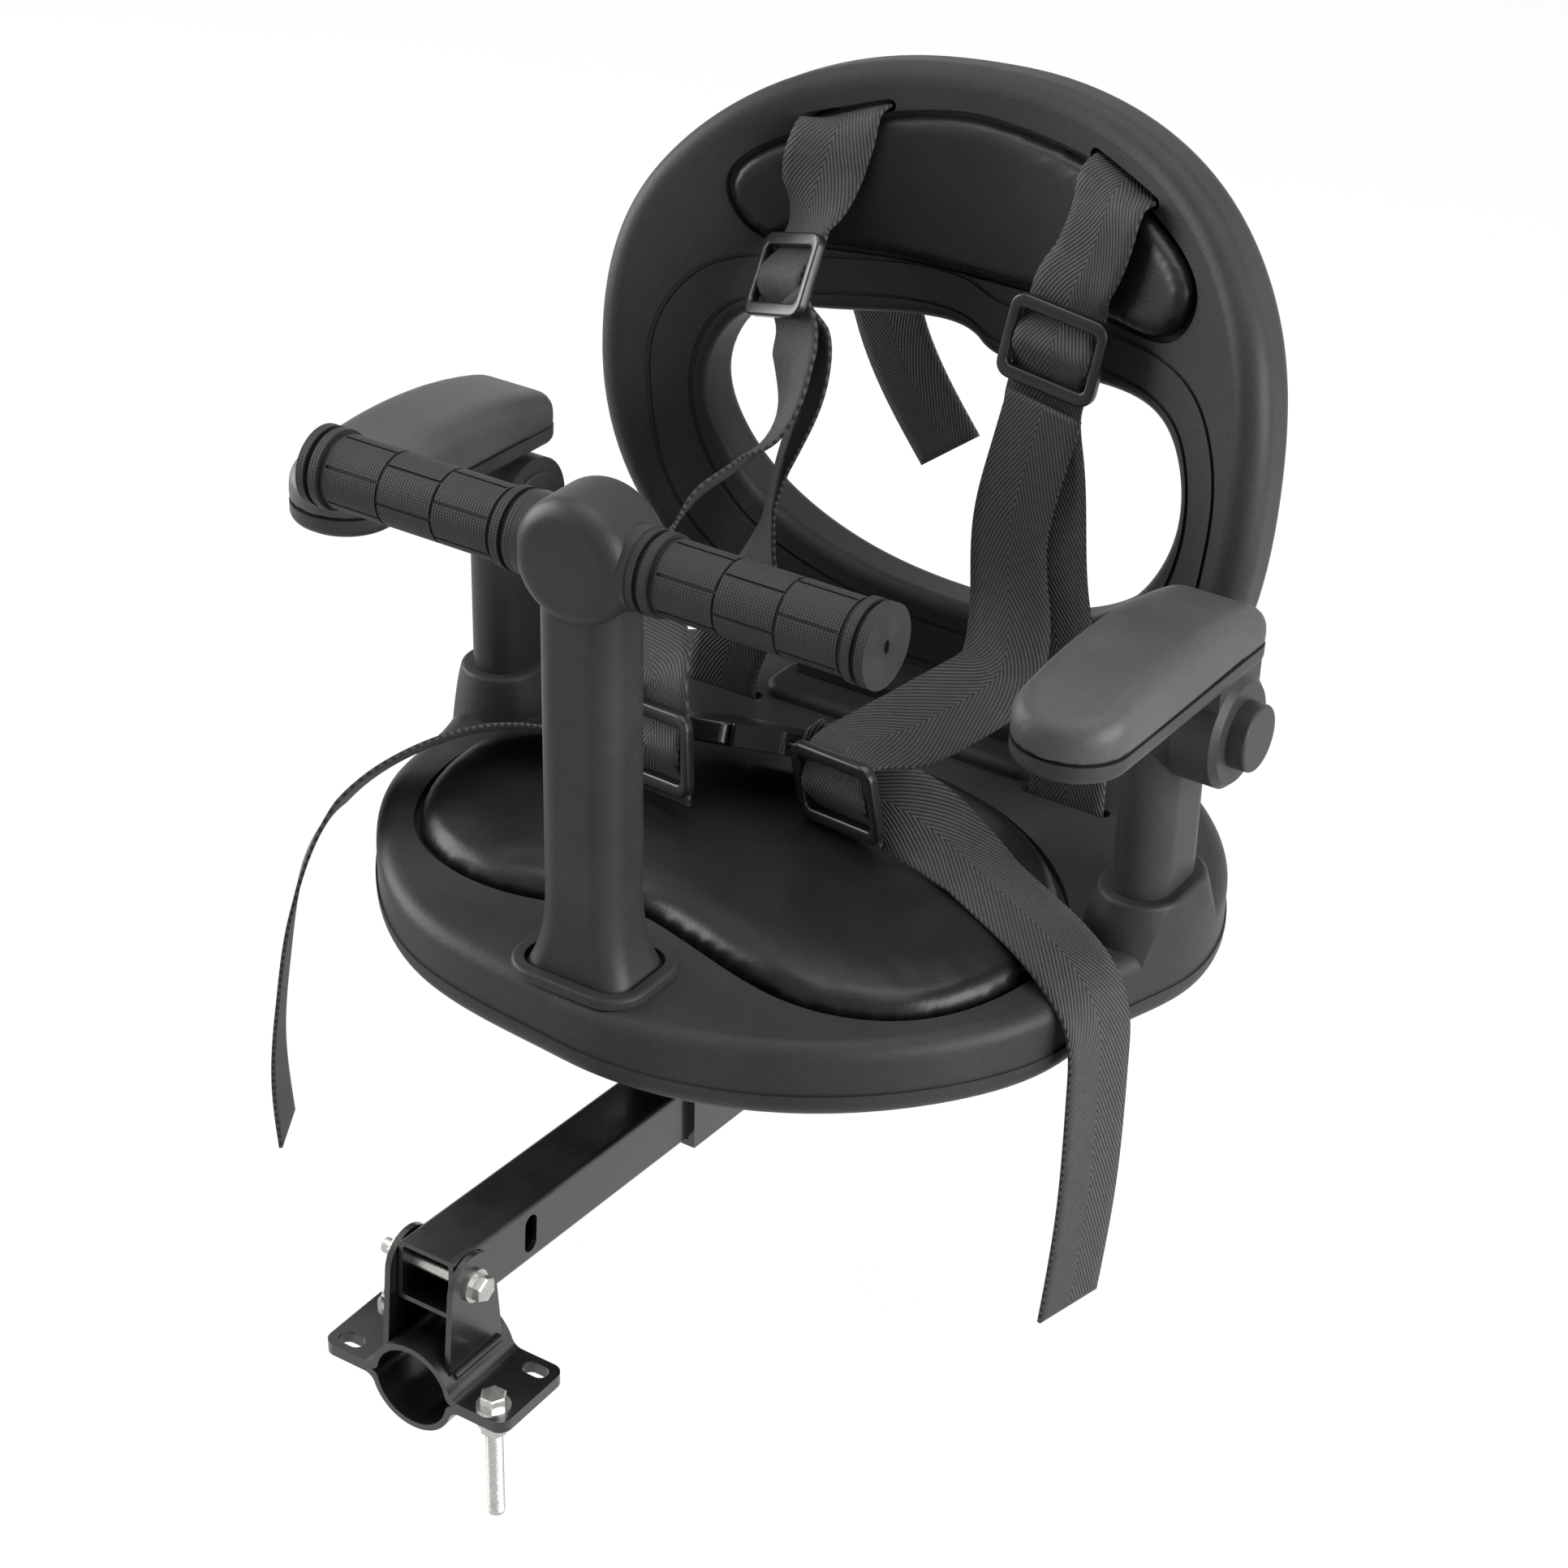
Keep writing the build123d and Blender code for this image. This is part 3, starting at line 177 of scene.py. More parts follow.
# %% Metals
PEEL, WEAR, SPANGLE = 1.8 * MM, 14 * MM, 1.5 * MM
PEEL_RISE, SPANGLE_RISE = 0.03 * MM, 0.02 * MM


def enamel():
    """Stoved black enamel on steel."""
    material, tree, shader, place = start(
        "stoved black enamel on steel", {"IOR": 1.5, "Coat Weight": 0.35, "Coat Roughness": 0.12})
    peel = add(tree, "TexNoise", {"Vector": place, "Scale": 1 / PEEL, "Detail": 1.0})
    wear = add(tree, "TexNoise", {"Vector": place, "Scale": 1 / WEAR, "Detail": 5.0})
    tone = add(tree, "MixRGB", {
        "Fac": wear.outputs["Fac"], "Color1": linear("#060607"), "Color2": linear("#101011")})
    polish = add(tree, "MapRange", {"Value": wear.outputs["Fac"], "To Min": 0.2, "To Max": 0.36})
    bump = add(tree, "Bump", {"Height": peel.outputs["Fac"], "Distance": PEEL_RISE})
    wire(tree, shader, tone, bump, polish)
    return material


def plated(name, dark, light):
    """Zinc plate or drawn steel."""
    material, tree, shader, place = start(name, {"Metallic": 1.0})
    spangle = add(tree, "TexNoise", {"Vector": place, "Scale": 1 / SPANGLE, "Detail": 6.0})
    tone = add(tree, "MixRGB", {
        "Fac": spangle.outputs["Fac"], "Color1": linear(dark), "Color2": linear(light)})
    polish = add(tree, "MapRange", {"Value": spangle.outputs["Fac"], "To Min": 0.2, "To Max": 0.42})
    bump = add(tree, "Bump", {"Height": spangle.outputs["Fac"], "Distance": SPANGLE_RISE})
    wire(tree, shader, tone, bump, polish)
    return material


black_enamel = enamel()
zinc = plated("bright zinc plate", "#9c9c98", "#cfcfca")
drawn_steel = plated("plain drawn steel", "#6a6b6d", "#8d8e90")
print("metals made")

# %% [markdown]
# ## Hatched grip rubber
# The grips are rubber with a fine diagonal hatch between their rings. On a round grip the pattern must turn
# with the surface, so the recipe works out the angle about the bar and lays two sets of slanted lines on it.

# %% Grip rubber
bar_low, bar_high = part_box("handlebar")
bar_axis = (Vector(bar_low) + Vector(bar_high)) / 2
grip_low, grip_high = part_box("right_grip")
grip_radius = (grip_high[2] - grip_low[2]) / 2
HATCH, HATCH_RISE = 2.4 * MM, 0.10 * MM
DUST = 6 * MM


def hatched():
    """Rubber with crossed slanted lines about the bar's axis."""
    material, tree, shader, place = start(
        "hatched rubber", {"IOR": 1.5, "Roughness": 0.6, "Specular IOR Level": 0.18})
    local = add(tree, "VectorMath", {0: place, 1: bar_axis}, operation="SUBTRACT")
    part = add(tree, "SeparateXYZ", {"Vector": local.outputs["Vector"]})
    angle = add(tree, "Math", {0: part.outputs["Y"], 1: part.outputs["Z"]}, operation="ARCTAN2")
    arc = add(tree, "Math", {0: angle.outputs[0], 1: grip_radius}, operation="MULTIPLY")
    lines = []
    for way in ("ADD", "SUBTRACT"):
        slant = add(tree, "Math", {0: arc.outputs[0], 1: part.outputs["X"]}, operation=way)
        turns = add(tree, "Math", {0: slant.outputs[0], 1: 2 * pi / HATCH}, operation="MULTIPLY")
        lines.append(add(tree, "Math", {0: turns.outputs[0]}, operation="SINE").outputs[0])
    knurl = add(tree, "Math", {0: lines[0], 1: lines[1]}, operation="MULTIPLY")
    dust = add(tree, "TexNoise", {"Vector": place, "Scale": 1 / DUST, "Detail": 5.0})
    tone = add(tree, "MixRGB", {
        "Fac": dust.outputs["Fac"], "Color1": linear("#171718"), "Color2": linear("#222223")})
    bump = add(tree, "Bump", {"Height": knurl.outputs[0], "Distance": HATCH_RISE})
    wire(tree, shader, tone, bump)
    return material


grip_rubber = hatched()
print("grip radius in mm:", round(grip_radius / MM, 1))

# %% [markdown]
# ## Herringbone webbing
# Harness webbing is woven in bands whose twill lines slant one way and then the other. A ping-pong of the
# place across the strap folds straight lines into that zigzag, here with one fold along the strap's middle
# and lines that run steeply. The pattern needs to know which way the strap runs, so it reads a map of metres
# across and along, which the straps get when they are made below.

# %% Webbing
BAND = 17 * MM
TWILL = 3.4 * MM
STEEP = 2.1
WEAVE_RISE = 0.22 * MM
FUZZ, FUZZ_SHARE = 3 * MM, 0.3


def herringbone():
    """Polyester webbing in herringbone twill."""
    material, tree, shader, place = start(
        "polyester herringbone webbing", {
            "IOR": 1.5, "Roughness": 0.6, "Specular IOR Level": 0.12, "Sheen Weight": 0.04,
            "Sheen Roughness": 0.4})
    laid = add(tree, "UVMap", uv_map="webbing").outputs["UV"]
    part = add(tree, "SeparateXYZ", {"Vector": laid})
    zigzag = add(tree, "Math", {0: part.outputs["X"], 1: BAND}, operation="PINGPONG")
    rise = add(tree, "Math", {0: zigzag.outputs[0], 1: STEEP}, operation="MULTIPLY")
    slant = add(tree, "Math", {0: part.outputs["Y"], 1: rise.outputs[0]}, operation="ADD")
    turns = add(tree, "Math", {0: slant.outputs[0], 1: 2 * pi / TWILL}, operation="MULTIPLY")
    thread = add(tree, "Math", {0: turns.outputs[0]}, operation="SINE")
    height = add(tree, "MapRange", {"Value": thread.outputs[0], "From Min": -1.0, "From Max": 1.0})
    fuzz = add(tree, "TexNoise", {"Vector": place, "Scale": 1 / FUZZ, "Detail": 6.0})
    tone = add(tree, "MixRGB", {
        "Fac": height.outputs["Result"], "Color1": linear("#1a1a1b"), "Color2": linear("#3d3d3e")})
    worn = add(tree, "MixRGB", {
        "Fac": FUZZ_SHARE, "Color1": tone.outputs["Color"],
        "Color2": fuzz.outputs["Fac"]}, blend_type="OVERLAY")
    bump = add(tree, "Bump", {"Height": height.outputs["Result"], "Distance": WEAVE_RISE})
    wire(tree, shader, worn, bump)
    return material


webbing = herringbone()
print("webbing band in mm:", BAND / MM)

# %% [markdown]
# ## Dress the rigid pieces
# Each CAD node names a material slot in the record, so one table from slot to finish dresses them all.

# %% Finishes by slot
finish = {
    "black_steel": black_enamel, "zinc_steel": zinc, "bar_steel": drawn_steel, "black_plastic": nylon,
    "moulded_foam": foam_skin, "armrest_foam": arm_skin, "pad_skin": pad_skin, "grip_rubber": grip_rubber,
    "webbing": webbing, "buckle_plastic": acetal}
slot_of = {s["node"]: s["material_slot"] for s in frame["record"]["subparts"]}


def dress(piece, material):
    """One material over a whole piece."""
    piece.data.materials.clear()
    piece.data.materials.append(material)


for name, piece in nodes.items():
    dress(piece, finish[slot_of[name]])
print("dressed", len(nodes), "pieces")

# %% [markdown]
# ## Threads of the clamp bolts
# The two clamp bolts show a long thread below their nuts. It is a ridge wound about the shank: a three-sided
# section carried round a helix, one turn for each millimetre, that fades out over half a turn at its ends.

# %% Wound threads
THREAD_PITCH = 1.0 * MM
THREAD_RISE, THREAD_SINK = 0.25 * MM, 0.05 * MM
THREAD_HALF = 0.48
THREAD_STEPS = 24
SHANK_RADIUS = 3.0 * MM
BOLT_X, BOLT_Y = 33 * MM, 12.5 * MM
thread_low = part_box("clamp_bolts")[0][2] + THREAD_PITCH
thread_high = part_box("clamp_nuts")[0][2] - THREAD_PITCH
thread_turns = round((thread_high - thread_low) / THREAD_PITCH)


def wind(shape, x, y):
    """Winds one ridge about the upright line through x and y."""
    last = thread_turns * THREAD_STEPS
    foot = SHANK_RADIUS - THREAD_SINK
    rows = []
    for step in range(last + 1):
        angle = 2 * pi * step / THREAD_STEPS
        z = thread_low + THREAD_PITCH * step / THREAD_STEPS
        fade = min(1.0, 2 * step / THREAD_STEPS, 2 * (last - step) / THREAD_STEPS)
        crest = SHANK_RADIUS + THREAD_RISE * fade
        section = [(foot, -THREAD_HALF), (crest, 0.0), (foot, THREAD_HALF)]
        rows.append([
            shape.verts.new((x + r * cos(angle), y + r * sin(angle), z + h * THREAD_PITCH))
            for r, h in section])
    for row, after in zip(rows, rows[1:]):
        for i, j in ((0, 1), (1, 2), (2, 0)):
            shape.faces.new([row[i], after[i], after[j], row[j]])
    shape.faces.new(rows[0])
    shape.faces.new(rows[-1][::-1])


threads_shape = bmesh.new()
for x, y in ((BOLT_X, -BOLT_Y), (-BOLT_X, BOLT_Y)):
    wind(threads_shape, x, y)
bmesh.ops.recalc_face_normals(threads_shape, faces=threads_shape.faces)
threads_mesh = bpy.data.meshes.new("clamp_bolt_threads")
threads_shape.to_mesh(threads_mesh)
threads_shape.free()
threads = linked("clamp_bolt_threads", threads_mesh)
dress(threads, zinc)
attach(threads, "clamp")
print("turns of thread:", thread_turns)

# %% [markdown]
# ## Straps of the harness
# A strap is a flat ribbon that keeps its width while it bends and twists. Each one is drawn as a few
# stations: a point in millimetres, and the way its width points there. A cubic spline joins the points, the
# width turns evenly from one station to the next, and a grid of quads is laid along it. The grid also gets
# the map of metres across and along that the weave reads, and a Solidify modifier gives it its thickness.

# %% A ribbon through stations
WEB_WIDE = 34 * MM
WEB_THICK = 1.5 * MM
WEB_STEP = 2.5 * MM
WEB_COLUMNS = 8


def spline(points, step):
    """Places along a cubic spline through points, and each place's station number with its fraction."""
    knots = np.concatenate([[0], np.cumsum(np.linalg.norm(np.diff(points, axis=0), axis=1))])
    gaps = np.diff(knots)
    last = len(points) - 1
    system = np.eye(last + 1)
    bend = np.zeros((last + 1, 3))
    for i in range(1, last):
        system[i, i - 1:i + 2] = gaps[i - 1], 2 * (gaps[i - 1] + gaps[i]), gaps[i]
        bend[i] = 6 * ((points[i + 1] - points[i]) / gaps[i] - (points[i] - points[i - 1]) / gaps[i - 1])
    bend = np.linalg.solve(system, bend)
    at = np.linspace(0, knots[-1], round(knots[-1] / step) + 1)
    i = np.clip(np.searchsorted(knots, at, side="right") - 1, 0, last - 1)
    gap, to, since = gaps[i][:, None], (knots[i + 1] - at)[:, None], (at - knots[i])[:, None]
    line = (bend[i] * to ** 3 + bend[i + 1] * since ** 3) / (6 * gap)
    line += (points[i] / gap - bend[i] * gap / 6) * to
    line += (points[i + 1] / gap - bend[i + 1] * gap / 6) * since
    return line, i + (since / gap)[:, 0]


def ribbon(name, stations):
    """A webbing strap; gives the piece and its length in metres."""
    points = np.array([point for point, across in stations], float) * MM
    ways = np.array([across for point, across in stations], float)
    line, place = spline(points, WEB_STEP)
    wide = np.stack([np.interp(place, range(len(ways)), ways[:, k]) for k in range(3)], axis=1)
    along = np.gradient(line, axis=0)
    along /= np.linalg.norm(along, axis=1)[:, None]
    wide -= along * np.sum(wide * along, axis=1)[:, None]
    wide /= np.linalg.norm(wide, axis=1)[:, None]
    run = np.concatenate([[0], np.cumsum(np.linalg.norm(np.diff(line, axis=0), axis=1))])
    mesh = bpy.data.meshes.new(name)
    grid = bmesh.new()
    weave = grid.loops.layers.uv.new("webbing")
    shares = [c / WEB_COLUMNS - 0.5 for c in range(WEB_COLUMNS + 1)]
    rows = []
    for middle, side in zip(line, wide):
        rows.append([grid.verts.new(middle + side * WEB_WIDE * share) for share in shares])
    for r in range(len(rows) - 1):
        for c in range(WEB_COLUMNS):
            corners = [(r, c), (r, c + 1), (r + 1, c + 1), (r + 1, c)]
            face = grid.faces.new([rows[i][j] for i, j in corners])
            face.smooth = True
            for loop, (i, j) in zip(face.loops, corners):
                loop[weave].uv = (WEB_WIDE * j / WEB_COLUMNS, run[i])
    grid.to_mesh(mesh)
    grid.free()
    piece = linked(name, mesh)
    body = piece.modifiers.new("thickness", "SOLIDIFY")
    body.thickness = WEB_THICK
    body.offset = 0.0
    dress(piece, webbing)
    return piece, run[-1]


# %% [markdown]
# ## Sliders
# A slider is a moulded frame with a bar across its middle. The webbing goes behind the frame's top, over the
# middle bar and behind its foot, and friction holds it there. Each is given by the strap's own line: a point,
# the way across and the way down. They sit where the CAD sliders do, turned as the photograph shows them.
# Their sizes are in millimetres, and the weave path lists heights along the strap with the lift at each.

# %% Slider frames
SLIDER_WIDE, SLIDER_HIGH, SLIDER_DEEP = 44.0, 35.0, 4.5
RAIL, TOP_BAR, LIFT = 4.2, 5.5, 3.2
RIM_CORNER, WINDOW_CORNER, EDGE_ROUND = 6.0, 2.5, 0.9
MIDDLE_BAR = (38.0, 4.5, 2.6)
WEAVE_PATH = [(22, 0.0), (12.8, -0.1), (6, 3.0), (0, 5.5), (-6, 3.0), (-12.8, -0.1), (-22, 0.0)]
sliders = {
    "right_shoulder_slider": ((48.5, 337, 299), (1, 0, 0), (-0.12, -0.155, -0.98)),
    "left_shoulder_slider": ((-67, 323.5, 305), (0.862, -0.402, 0.31), (0.04, -0.555, -0.83)),
    "right_waist_slider": ((33.9, 212.7, 154.5), (0.968, -0.21, 0.11), (0.13, 0.1, -0.985)),
    "left_waist_slider": ((-41.6, 195.7, 157.7), (0.96, -0.2, 0.1), (0.1, -0.1, -0.99))}


def slider_axes(name):
    """The middle of a slider's strap in mm, and its ways across, up and out."""
    middle, across, down = [Vector(v) for v in sliders[name]]
    up = -down.normalized()
    across = (across - up * across.dot(up)).normalized()
    return middle, across, up, across.cross(up)


def through(name):
    """Stations of the webbing on its way through a slider."""
    middle, across, up, out = slider_axes(name)
    return [(middle + up * high + out * lift, across) for high, lift in WEAVE_PATH]


def rounded(wide, high, radius, steps=5):
    """Points round a rectangle with rounded corners."""
    points = []
    for corner, (x, y) in enumerate([(1, 1), (-1, 1), (-1, -1), (1, -1)]):
        for step in range(steps + 1):
            angle = pi / 2 * (corner + step / steps)
            points.append((
                x * (wide / 2 - radius) + radius * cos(angle), y * (high / 2 - radius) + radius * sin(angle)))
    return points


def slider(name):
    """A slider's frame and middle bar."""
    middle, across, up, out = slider_axes(name)
    turn = Matrix((across, up, out)).transposed().to_4x4()
    place = Matrix.Translation((middle + out * LIFT) * MM) @ turn @ Matrix.Scale(MM, 4)
    rim = rounded(SLIDER_WIDE, SLIDER_HIGH, RIM_CORNER)
    window = rounded(SLIDER_WIDE - 2 * RAIL, SLIDER_HIGH - 2 * TOP_BAR, WINDOW_CORNER)
    shape = bmesh.new()
    rings = []
    for ring in (rim, window):
        for level in (SLIDER_DEEP / 2, -SLIDER_DEEP / 2):
            rings.append([shape.verts.new((x, y, level)) for x, y in ring])
    front_rim, back_rim, front_window, back_window = rings
    for i in range(len(rim)):
        j = (i + 1) % len(rim)
        shape.faces.new([front_rim[i], front_rim[j], front_window[j], front_window[i]])
        shape.faces.new([back_rim[j], back_rim[i], back_window[i], back_window[j]])
        shape.faces.new([back_rim[i], back_rim[j], front_rim[j], front_rim[i]])
        shape.faces.new([front_window[i], front_window[j], back_window[j], back_window[i]])
    bmesh.ops.create_cube(shape, size=1.0, matrix=Matrix.Diagonal((*MIDDLE_BAR, 1)))
    shape.transform(place)
    mesh = bpy.data.meshes.new("moulded_" + name)
    shape.to_mesh(mesh)
    shape.free()
    piece = linked("moulded_" + name, mesh)
    edges = piece.modifiers.new("rounded edges", "BEVEL")
    edges.width = EDGE_ROUND * MM
    edges.segments = 3
    edges.limit_method = "ANGLE"
    mesh.polygons.foreach_set("use_smooth", [True] * len(mesh.polygons))
    dress(piece, acetal)
    return piece


for name in sliders:
    frame_piece = slider(name)
    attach(frame_piece, "seat")
    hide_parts(name)
print("sliders:", len(sliders))

# %% [markdown]
# The stations follow the photograph. The shoulder straps come from behind the backrest through its slots,
# pass their sliders and go down into the seat board. The lap straps run from them, in an arch, to the
# sliders in front, and the loose tails lie over the seat's edge. Short straps lead from there to the buckle.
# The ways across that come back are named first: wrapped over the backrest's edge, twisted, edge-on to the
# camera, facing it, or hanging.

# %% Where each strap runs
ACROSS = (1, 0, 0)
SLOT_R, SLOT_L = (0.951, 0, -0.309), (0.951, 0, 0.309)
WRAP_R, WRAP_L = (0.96, -0.27, 0), (0.96, 0.29, 0)
TWISTED = (0.83, -0.47, 0.29)
TURNED = (-0.25, 0.82, -0.52)
EDGE_ON = (-0.5, 0.68, -0.53)
LOOKED_AT = (0.47, -0.72, 0.51)
HANG_L, HANG_R = (-0.54, 0.84, 0), (0.2, 0.98, 0)
runs = {
    "right_shoulder_strap": [
        ((62, 389, 298), WRAP_R), ((62, 390, 344), WRAP_R), ((62.5, 390, 356), WRAP_R),
        ((62.5, 385, 362.8), SLOT_R), ((62.5, 372, 364.8), SLOT_R), ((62.5, 355, 364.4), SLOT_R),
        ((62, 346.5, 359.5), WRAP_R), ((61, 342.5, 349), WRAP_R), ((55, 341.5, 331), WRAP_R),
        *through("right_shoulder_slider"), ((50, 330, 255), ACROSS), ((60, 322, 205), ACROSS),
        ((76, 312, 162), ACROSS), ((83, 305, 140), ACROSS), ((84, 303.4, 126), ACROSS),
        ((84, 303, 108), ACROSS)],
    "left_shoulder_strap": [
        ((-28, 391, 214), SLOT_L), ((-61, 391, 268), SLOT_L), ((-67, 391, 312), WRAP_L),
        ((-64, 391, 343), WRAP_L), ((-62.5, 390.5, 356), WRAP_L), ((-62.5, 385, 362.8), SLOT_L),
        ((-62.5, 372, 364.8), SLOT_L), ((-62.5, 355, 364.4), SLOT_L), ((-62.5, 346.5, 359.5), WRAP_L),
        ((-64, 341.5, 349), WRAP_L), *through("left_shoulder_slider")[:5],
        ((-57.5, 322.5, 284), (0.85, -0.42, 0.3)), ((-53.5, 320, 272), (0.8, -0.55, 0.2)),
        ((-55.4, 317, 254), (0.72, -0.68, 0.1)), ((-61.5, 314, 232), (0.58, -0.81, 0)),
        ((-65, 311, 213.6), (0.55, -0.83, 0)), ((-66, 309, 195.8), (0.65, -0.75, 0)),
        ((-70, 307, 172.9), (0.9, -0.4, 0)), ((-78, 305, 150), ACROSS), ((-83, 303.4, 134), ACROSS),
        ((-84, 303.2, 126), ACROSS), ((-84, 303, 108), ACROSS)],
    "right_lap_strap": [
        ((49, 328.5, 278), ACROSS), ((44, 325, 250), ACROSS), ((41, 321.5, 224), ACROSS),
        ((45, 316, 202), ACROSS), ((51, 307, 186), (0.95, 0.05, -0.2)), ((54, 295, 175), (0.85, 0.1, -0.45)),
        ((51, 278, 171), (0.78, 0.1, -0.6)), ((47, 258, 170), (0.76, 0, -0.62)),
        ((43, 239, 170), (0.85, -0.1, -0.45)), ((37, 224, 170.5), (0.95, -0.15, -0.15)),
        *through("right_waist_slider")[1:]],
    "left_lap_strap": [
        ((-64.5, 317, 299), TWISTED), ((-58.4, 314, 290), TWISTED), ((-55.2, 309, 281), (0.85, -0.45, 0.25)),
        ((-53.5, 304, 268), (0.75, -0.6, 0.2)), ((-56.7, 300, 252), (0.6, -0.75, 0.25)),
        ((-64.9, 295, 239.5), LOOKED_AT), ((-72, 288, 231.6), LOOKED_AT), ((-79.6, 280, 224.2), LOOKED_AT),
        ((-85.8, 270, 211), (0.55, -0.55, 0.6)), ((-87, 256, 200), (0.6, -0.3, 0.7)),
        ((-80, 240, 192), (0.62, 0.05, 0.78)), ((-63, 219, 187), (0.8, 0.25, 0.5)),
        *through("left_waist_slider")],
    "right_lap_tail": [
        ((25, 217.5, 152.5), (0, 0.12, 0.99)), ((44, 219, 151.5), (0, 0.2, 0.98)),
        ((60, 221.5, 147), (0.1, 0.6, 0.79)), ((77, 222, 139.5), (0.3, 0.9, 0.3)),
        ((96, 216, 134.8), (0.4, 0.9, 0)), ((128, 201, 132.5), (0.4, 0.9, 0)),
        ((150, 191, 127), (0.35, 0.93, 0)), ((163, 186, 115), HANG_R), ((167, 184, 92), HANG_R),
        ((167.5, 182, 36), HANG_R), ((164, 180, -18), HANG_R)],
    "left_lap_tail": [
        ((-82, 206, 141.2), EDGE_ON), ((-96, 203, 141.2), EDGE_ON), ((-114, 194, 142), EDGE_ON),
        ((-136, 166, 138.5), EDGE_ON), ((-152, 132, 123), EDGE_ON), ((-162, 116, 90), HANG_L),
        ((-168, 110, 46), HANG_L), ((-171, 107, 4), HANG_L), ((-167, 105, -28), HANG_L)],
    "right_buckle_strap": [
        ((-9.4, 234.4, 150), TURNED), ((-2.2, 236.7, 150), TURNED), ((2.6, 238.1, 150), TURNED),
        ((8.5, 239.4, 150.5), TURNED), ((14, 238, 153), (-0.3, 0.8, -0.48)),
        ((19.5, 234.5, 156.5), (-0.38, 0.77, -0.45)), ((24, 229.5, 158.5), (-0.45, 0.74, -0.42))],
    "left_buckle_strap": [
        ((-52.9, 221.2, 150), TURNED), ((-60, 219, 150), TURNED), ((-66, 217.2, 149.6), TURNED),
        ((-71.5, 215, 146.5), TURNED), ((-73, 213.5, 141.5), TURNED)]}

for name, stations in runs.items():
    strap, length = ribbon("woven_" + name, stations)
    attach(strap, "seat")
    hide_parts(name)
    print(name, "length in mm:", round(length / MM))

# %% [markdown]
# ## Pads
# The seat pad is foam under a stretched skin, so it bulges between its edges. A cloth simulation gives that:
# the CAD pad is remeshed into even squares, its lower part is pinned, and air pressure swells its crown for
# some frames. A cap keeps the swelling to a few millimetres. The back pad and the armrest pads are firmer, so
# they are only remeshed and smoothed.

# %% Soft copies of the CAD pads
FREE_BELOW = 0.25
SWELL_FRAMES = 20


def bake(piece):
    """Puts the modifiers' result into the piece's mesh."""
    shown = piece.evaluated_get(bpy.context.evaluated_depsgraph_get())
    mesh = bpy.data.meshes.new_from_object(shown)
    piece.modifiers.clear()
    piece.data = mesh


def remeshed(node, voxel, under, rim=0.0):
    """A copy of a CAD pad as an even grid of quads; the group free leaves out its underside and rim."""
    piece = linked("soft_" + node, nodes[node].data.copy())
    grid = piece.modifiers.new("even quads", "REMESH")
    grid.mode = "VOXEL"
    grid.voxel_size = voxel
    bake(piece)
    under = Vector(under)
    foot = max(v.co.dot(under) for v in piece.data.vertices)
    off = [v.index for v in piece.data.vertices
           if v.normal.dot(under) < FREE_BELOW and foot - v.co.dot(under) >= rim]
    piece.vertex_groups.new(name="free").add(off, 1.0, "REPLACE")
    return piece


def swell(piece, held_below, pressure, cap):
    """Blows a pad up by air pressure above a height; cap limits the movement gently."""
    rest = [v.co.copy() for v in piece.data.vertices]
    held = piece.vertex_groups.new(name="held")
    held.add([i for i, place in enumerate(rest) if place.z < held_below], 1.0, "REPLACE")
    cloth = piece.modifiers.new("air", "CLOTH")
    cloth.settings.vertex_group_mass = held.name
    cloth.settings.use_pressure = True
    cloth.settings.uniform_pressure_force = pressure
    cloth.settings.effector_weights.gravity = 0.0
    cloth.collision_settings.use_collision = False
    for step in range(1, SWELL_FRAMES + 1):
        bpy.context.scene.frame_set(step)
    bake(piece)
    bpy.context.scene.frame_set(1)
    moved = 0.0
    for vertex, place in zip(piece.data.vertices, rest):
        shift = vertex.co - place
        shift *= cap / (cap + shift.length)
        vertex.co = place + shift
        moved = max(moved, shift.length)
    return moved


def finish_pad(piece, node, body, rounds):
    """Smooths a pad, dresses it and puts it in the CAD pad's place."""
    relax = piece.modifiers.new("relax", "SMOOTH")
    relax.factor = 0.5
    relax.iterations = rounds
    relax.vertex_group = "free"
    fine = piece.modifiers.new("fine", "SUBSURF")
    fine.levels = fine.render_levels = 1
    piece.data.polygons.foreach_set("use_smooth", [True] * len(piece.data.polygons))
    dress(piece, finish[slot_of[node]])
    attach(piece, body)
    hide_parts(node)


# %% The seat pad, the back pad and the armrest pads
DOWN, BACK = (0, 0, -1), (0, 1, 0)
ARM_LEAN = radians(1.3)
ARM_DOWN = (0, -sin(ARM_LEAN), -cos(ARM_LEAN))
SEAT_VOXEL, PAD_VOXEL, ARM_RIM = 2.5 * MM, 2.0 * MM, 3 * MM
CROWN_DEPTH, AIR_PRESSURE, SWELL_CAP = 5 * MM, 4.0, 2.5 * MM
pad_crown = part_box("seat_pad")[1][2]
seat_cushion = remeshed("seat_pad", SEAT_VOXEL, DOWN)
moved = swell(seat_cushion, pad_crown - CROWN_DEPTH, AIR_PRESSURE, SWELL_CAP)
finish_pad(seat_cushion, "seat_pad", "seat", rounds=12)
print("seat pad swelled by mm:", round(moved / MM, 1))

back_cushion = remeshed("back_pad", PAD_VOXEL, BACK)
finish_pad(back_cushion, "back_pad", "seat", rounds=8)

for side in ("left", "right"):
    arm_cushion = remeshed(side + "_armrest_pad", PAD_VOXEL, ARM_DOWN, ARM_RIM)
    finish_pad(arm_cushion, side + "_armrest_pad", side + "_armrest", rounds=2)

# %% [markdown]
# ## Floor and light
# The object is shown on plain white. The floor and the world are white to the camera and to reflections, and
# weaker to everything else, so the light on the object comes from three soft lamps.

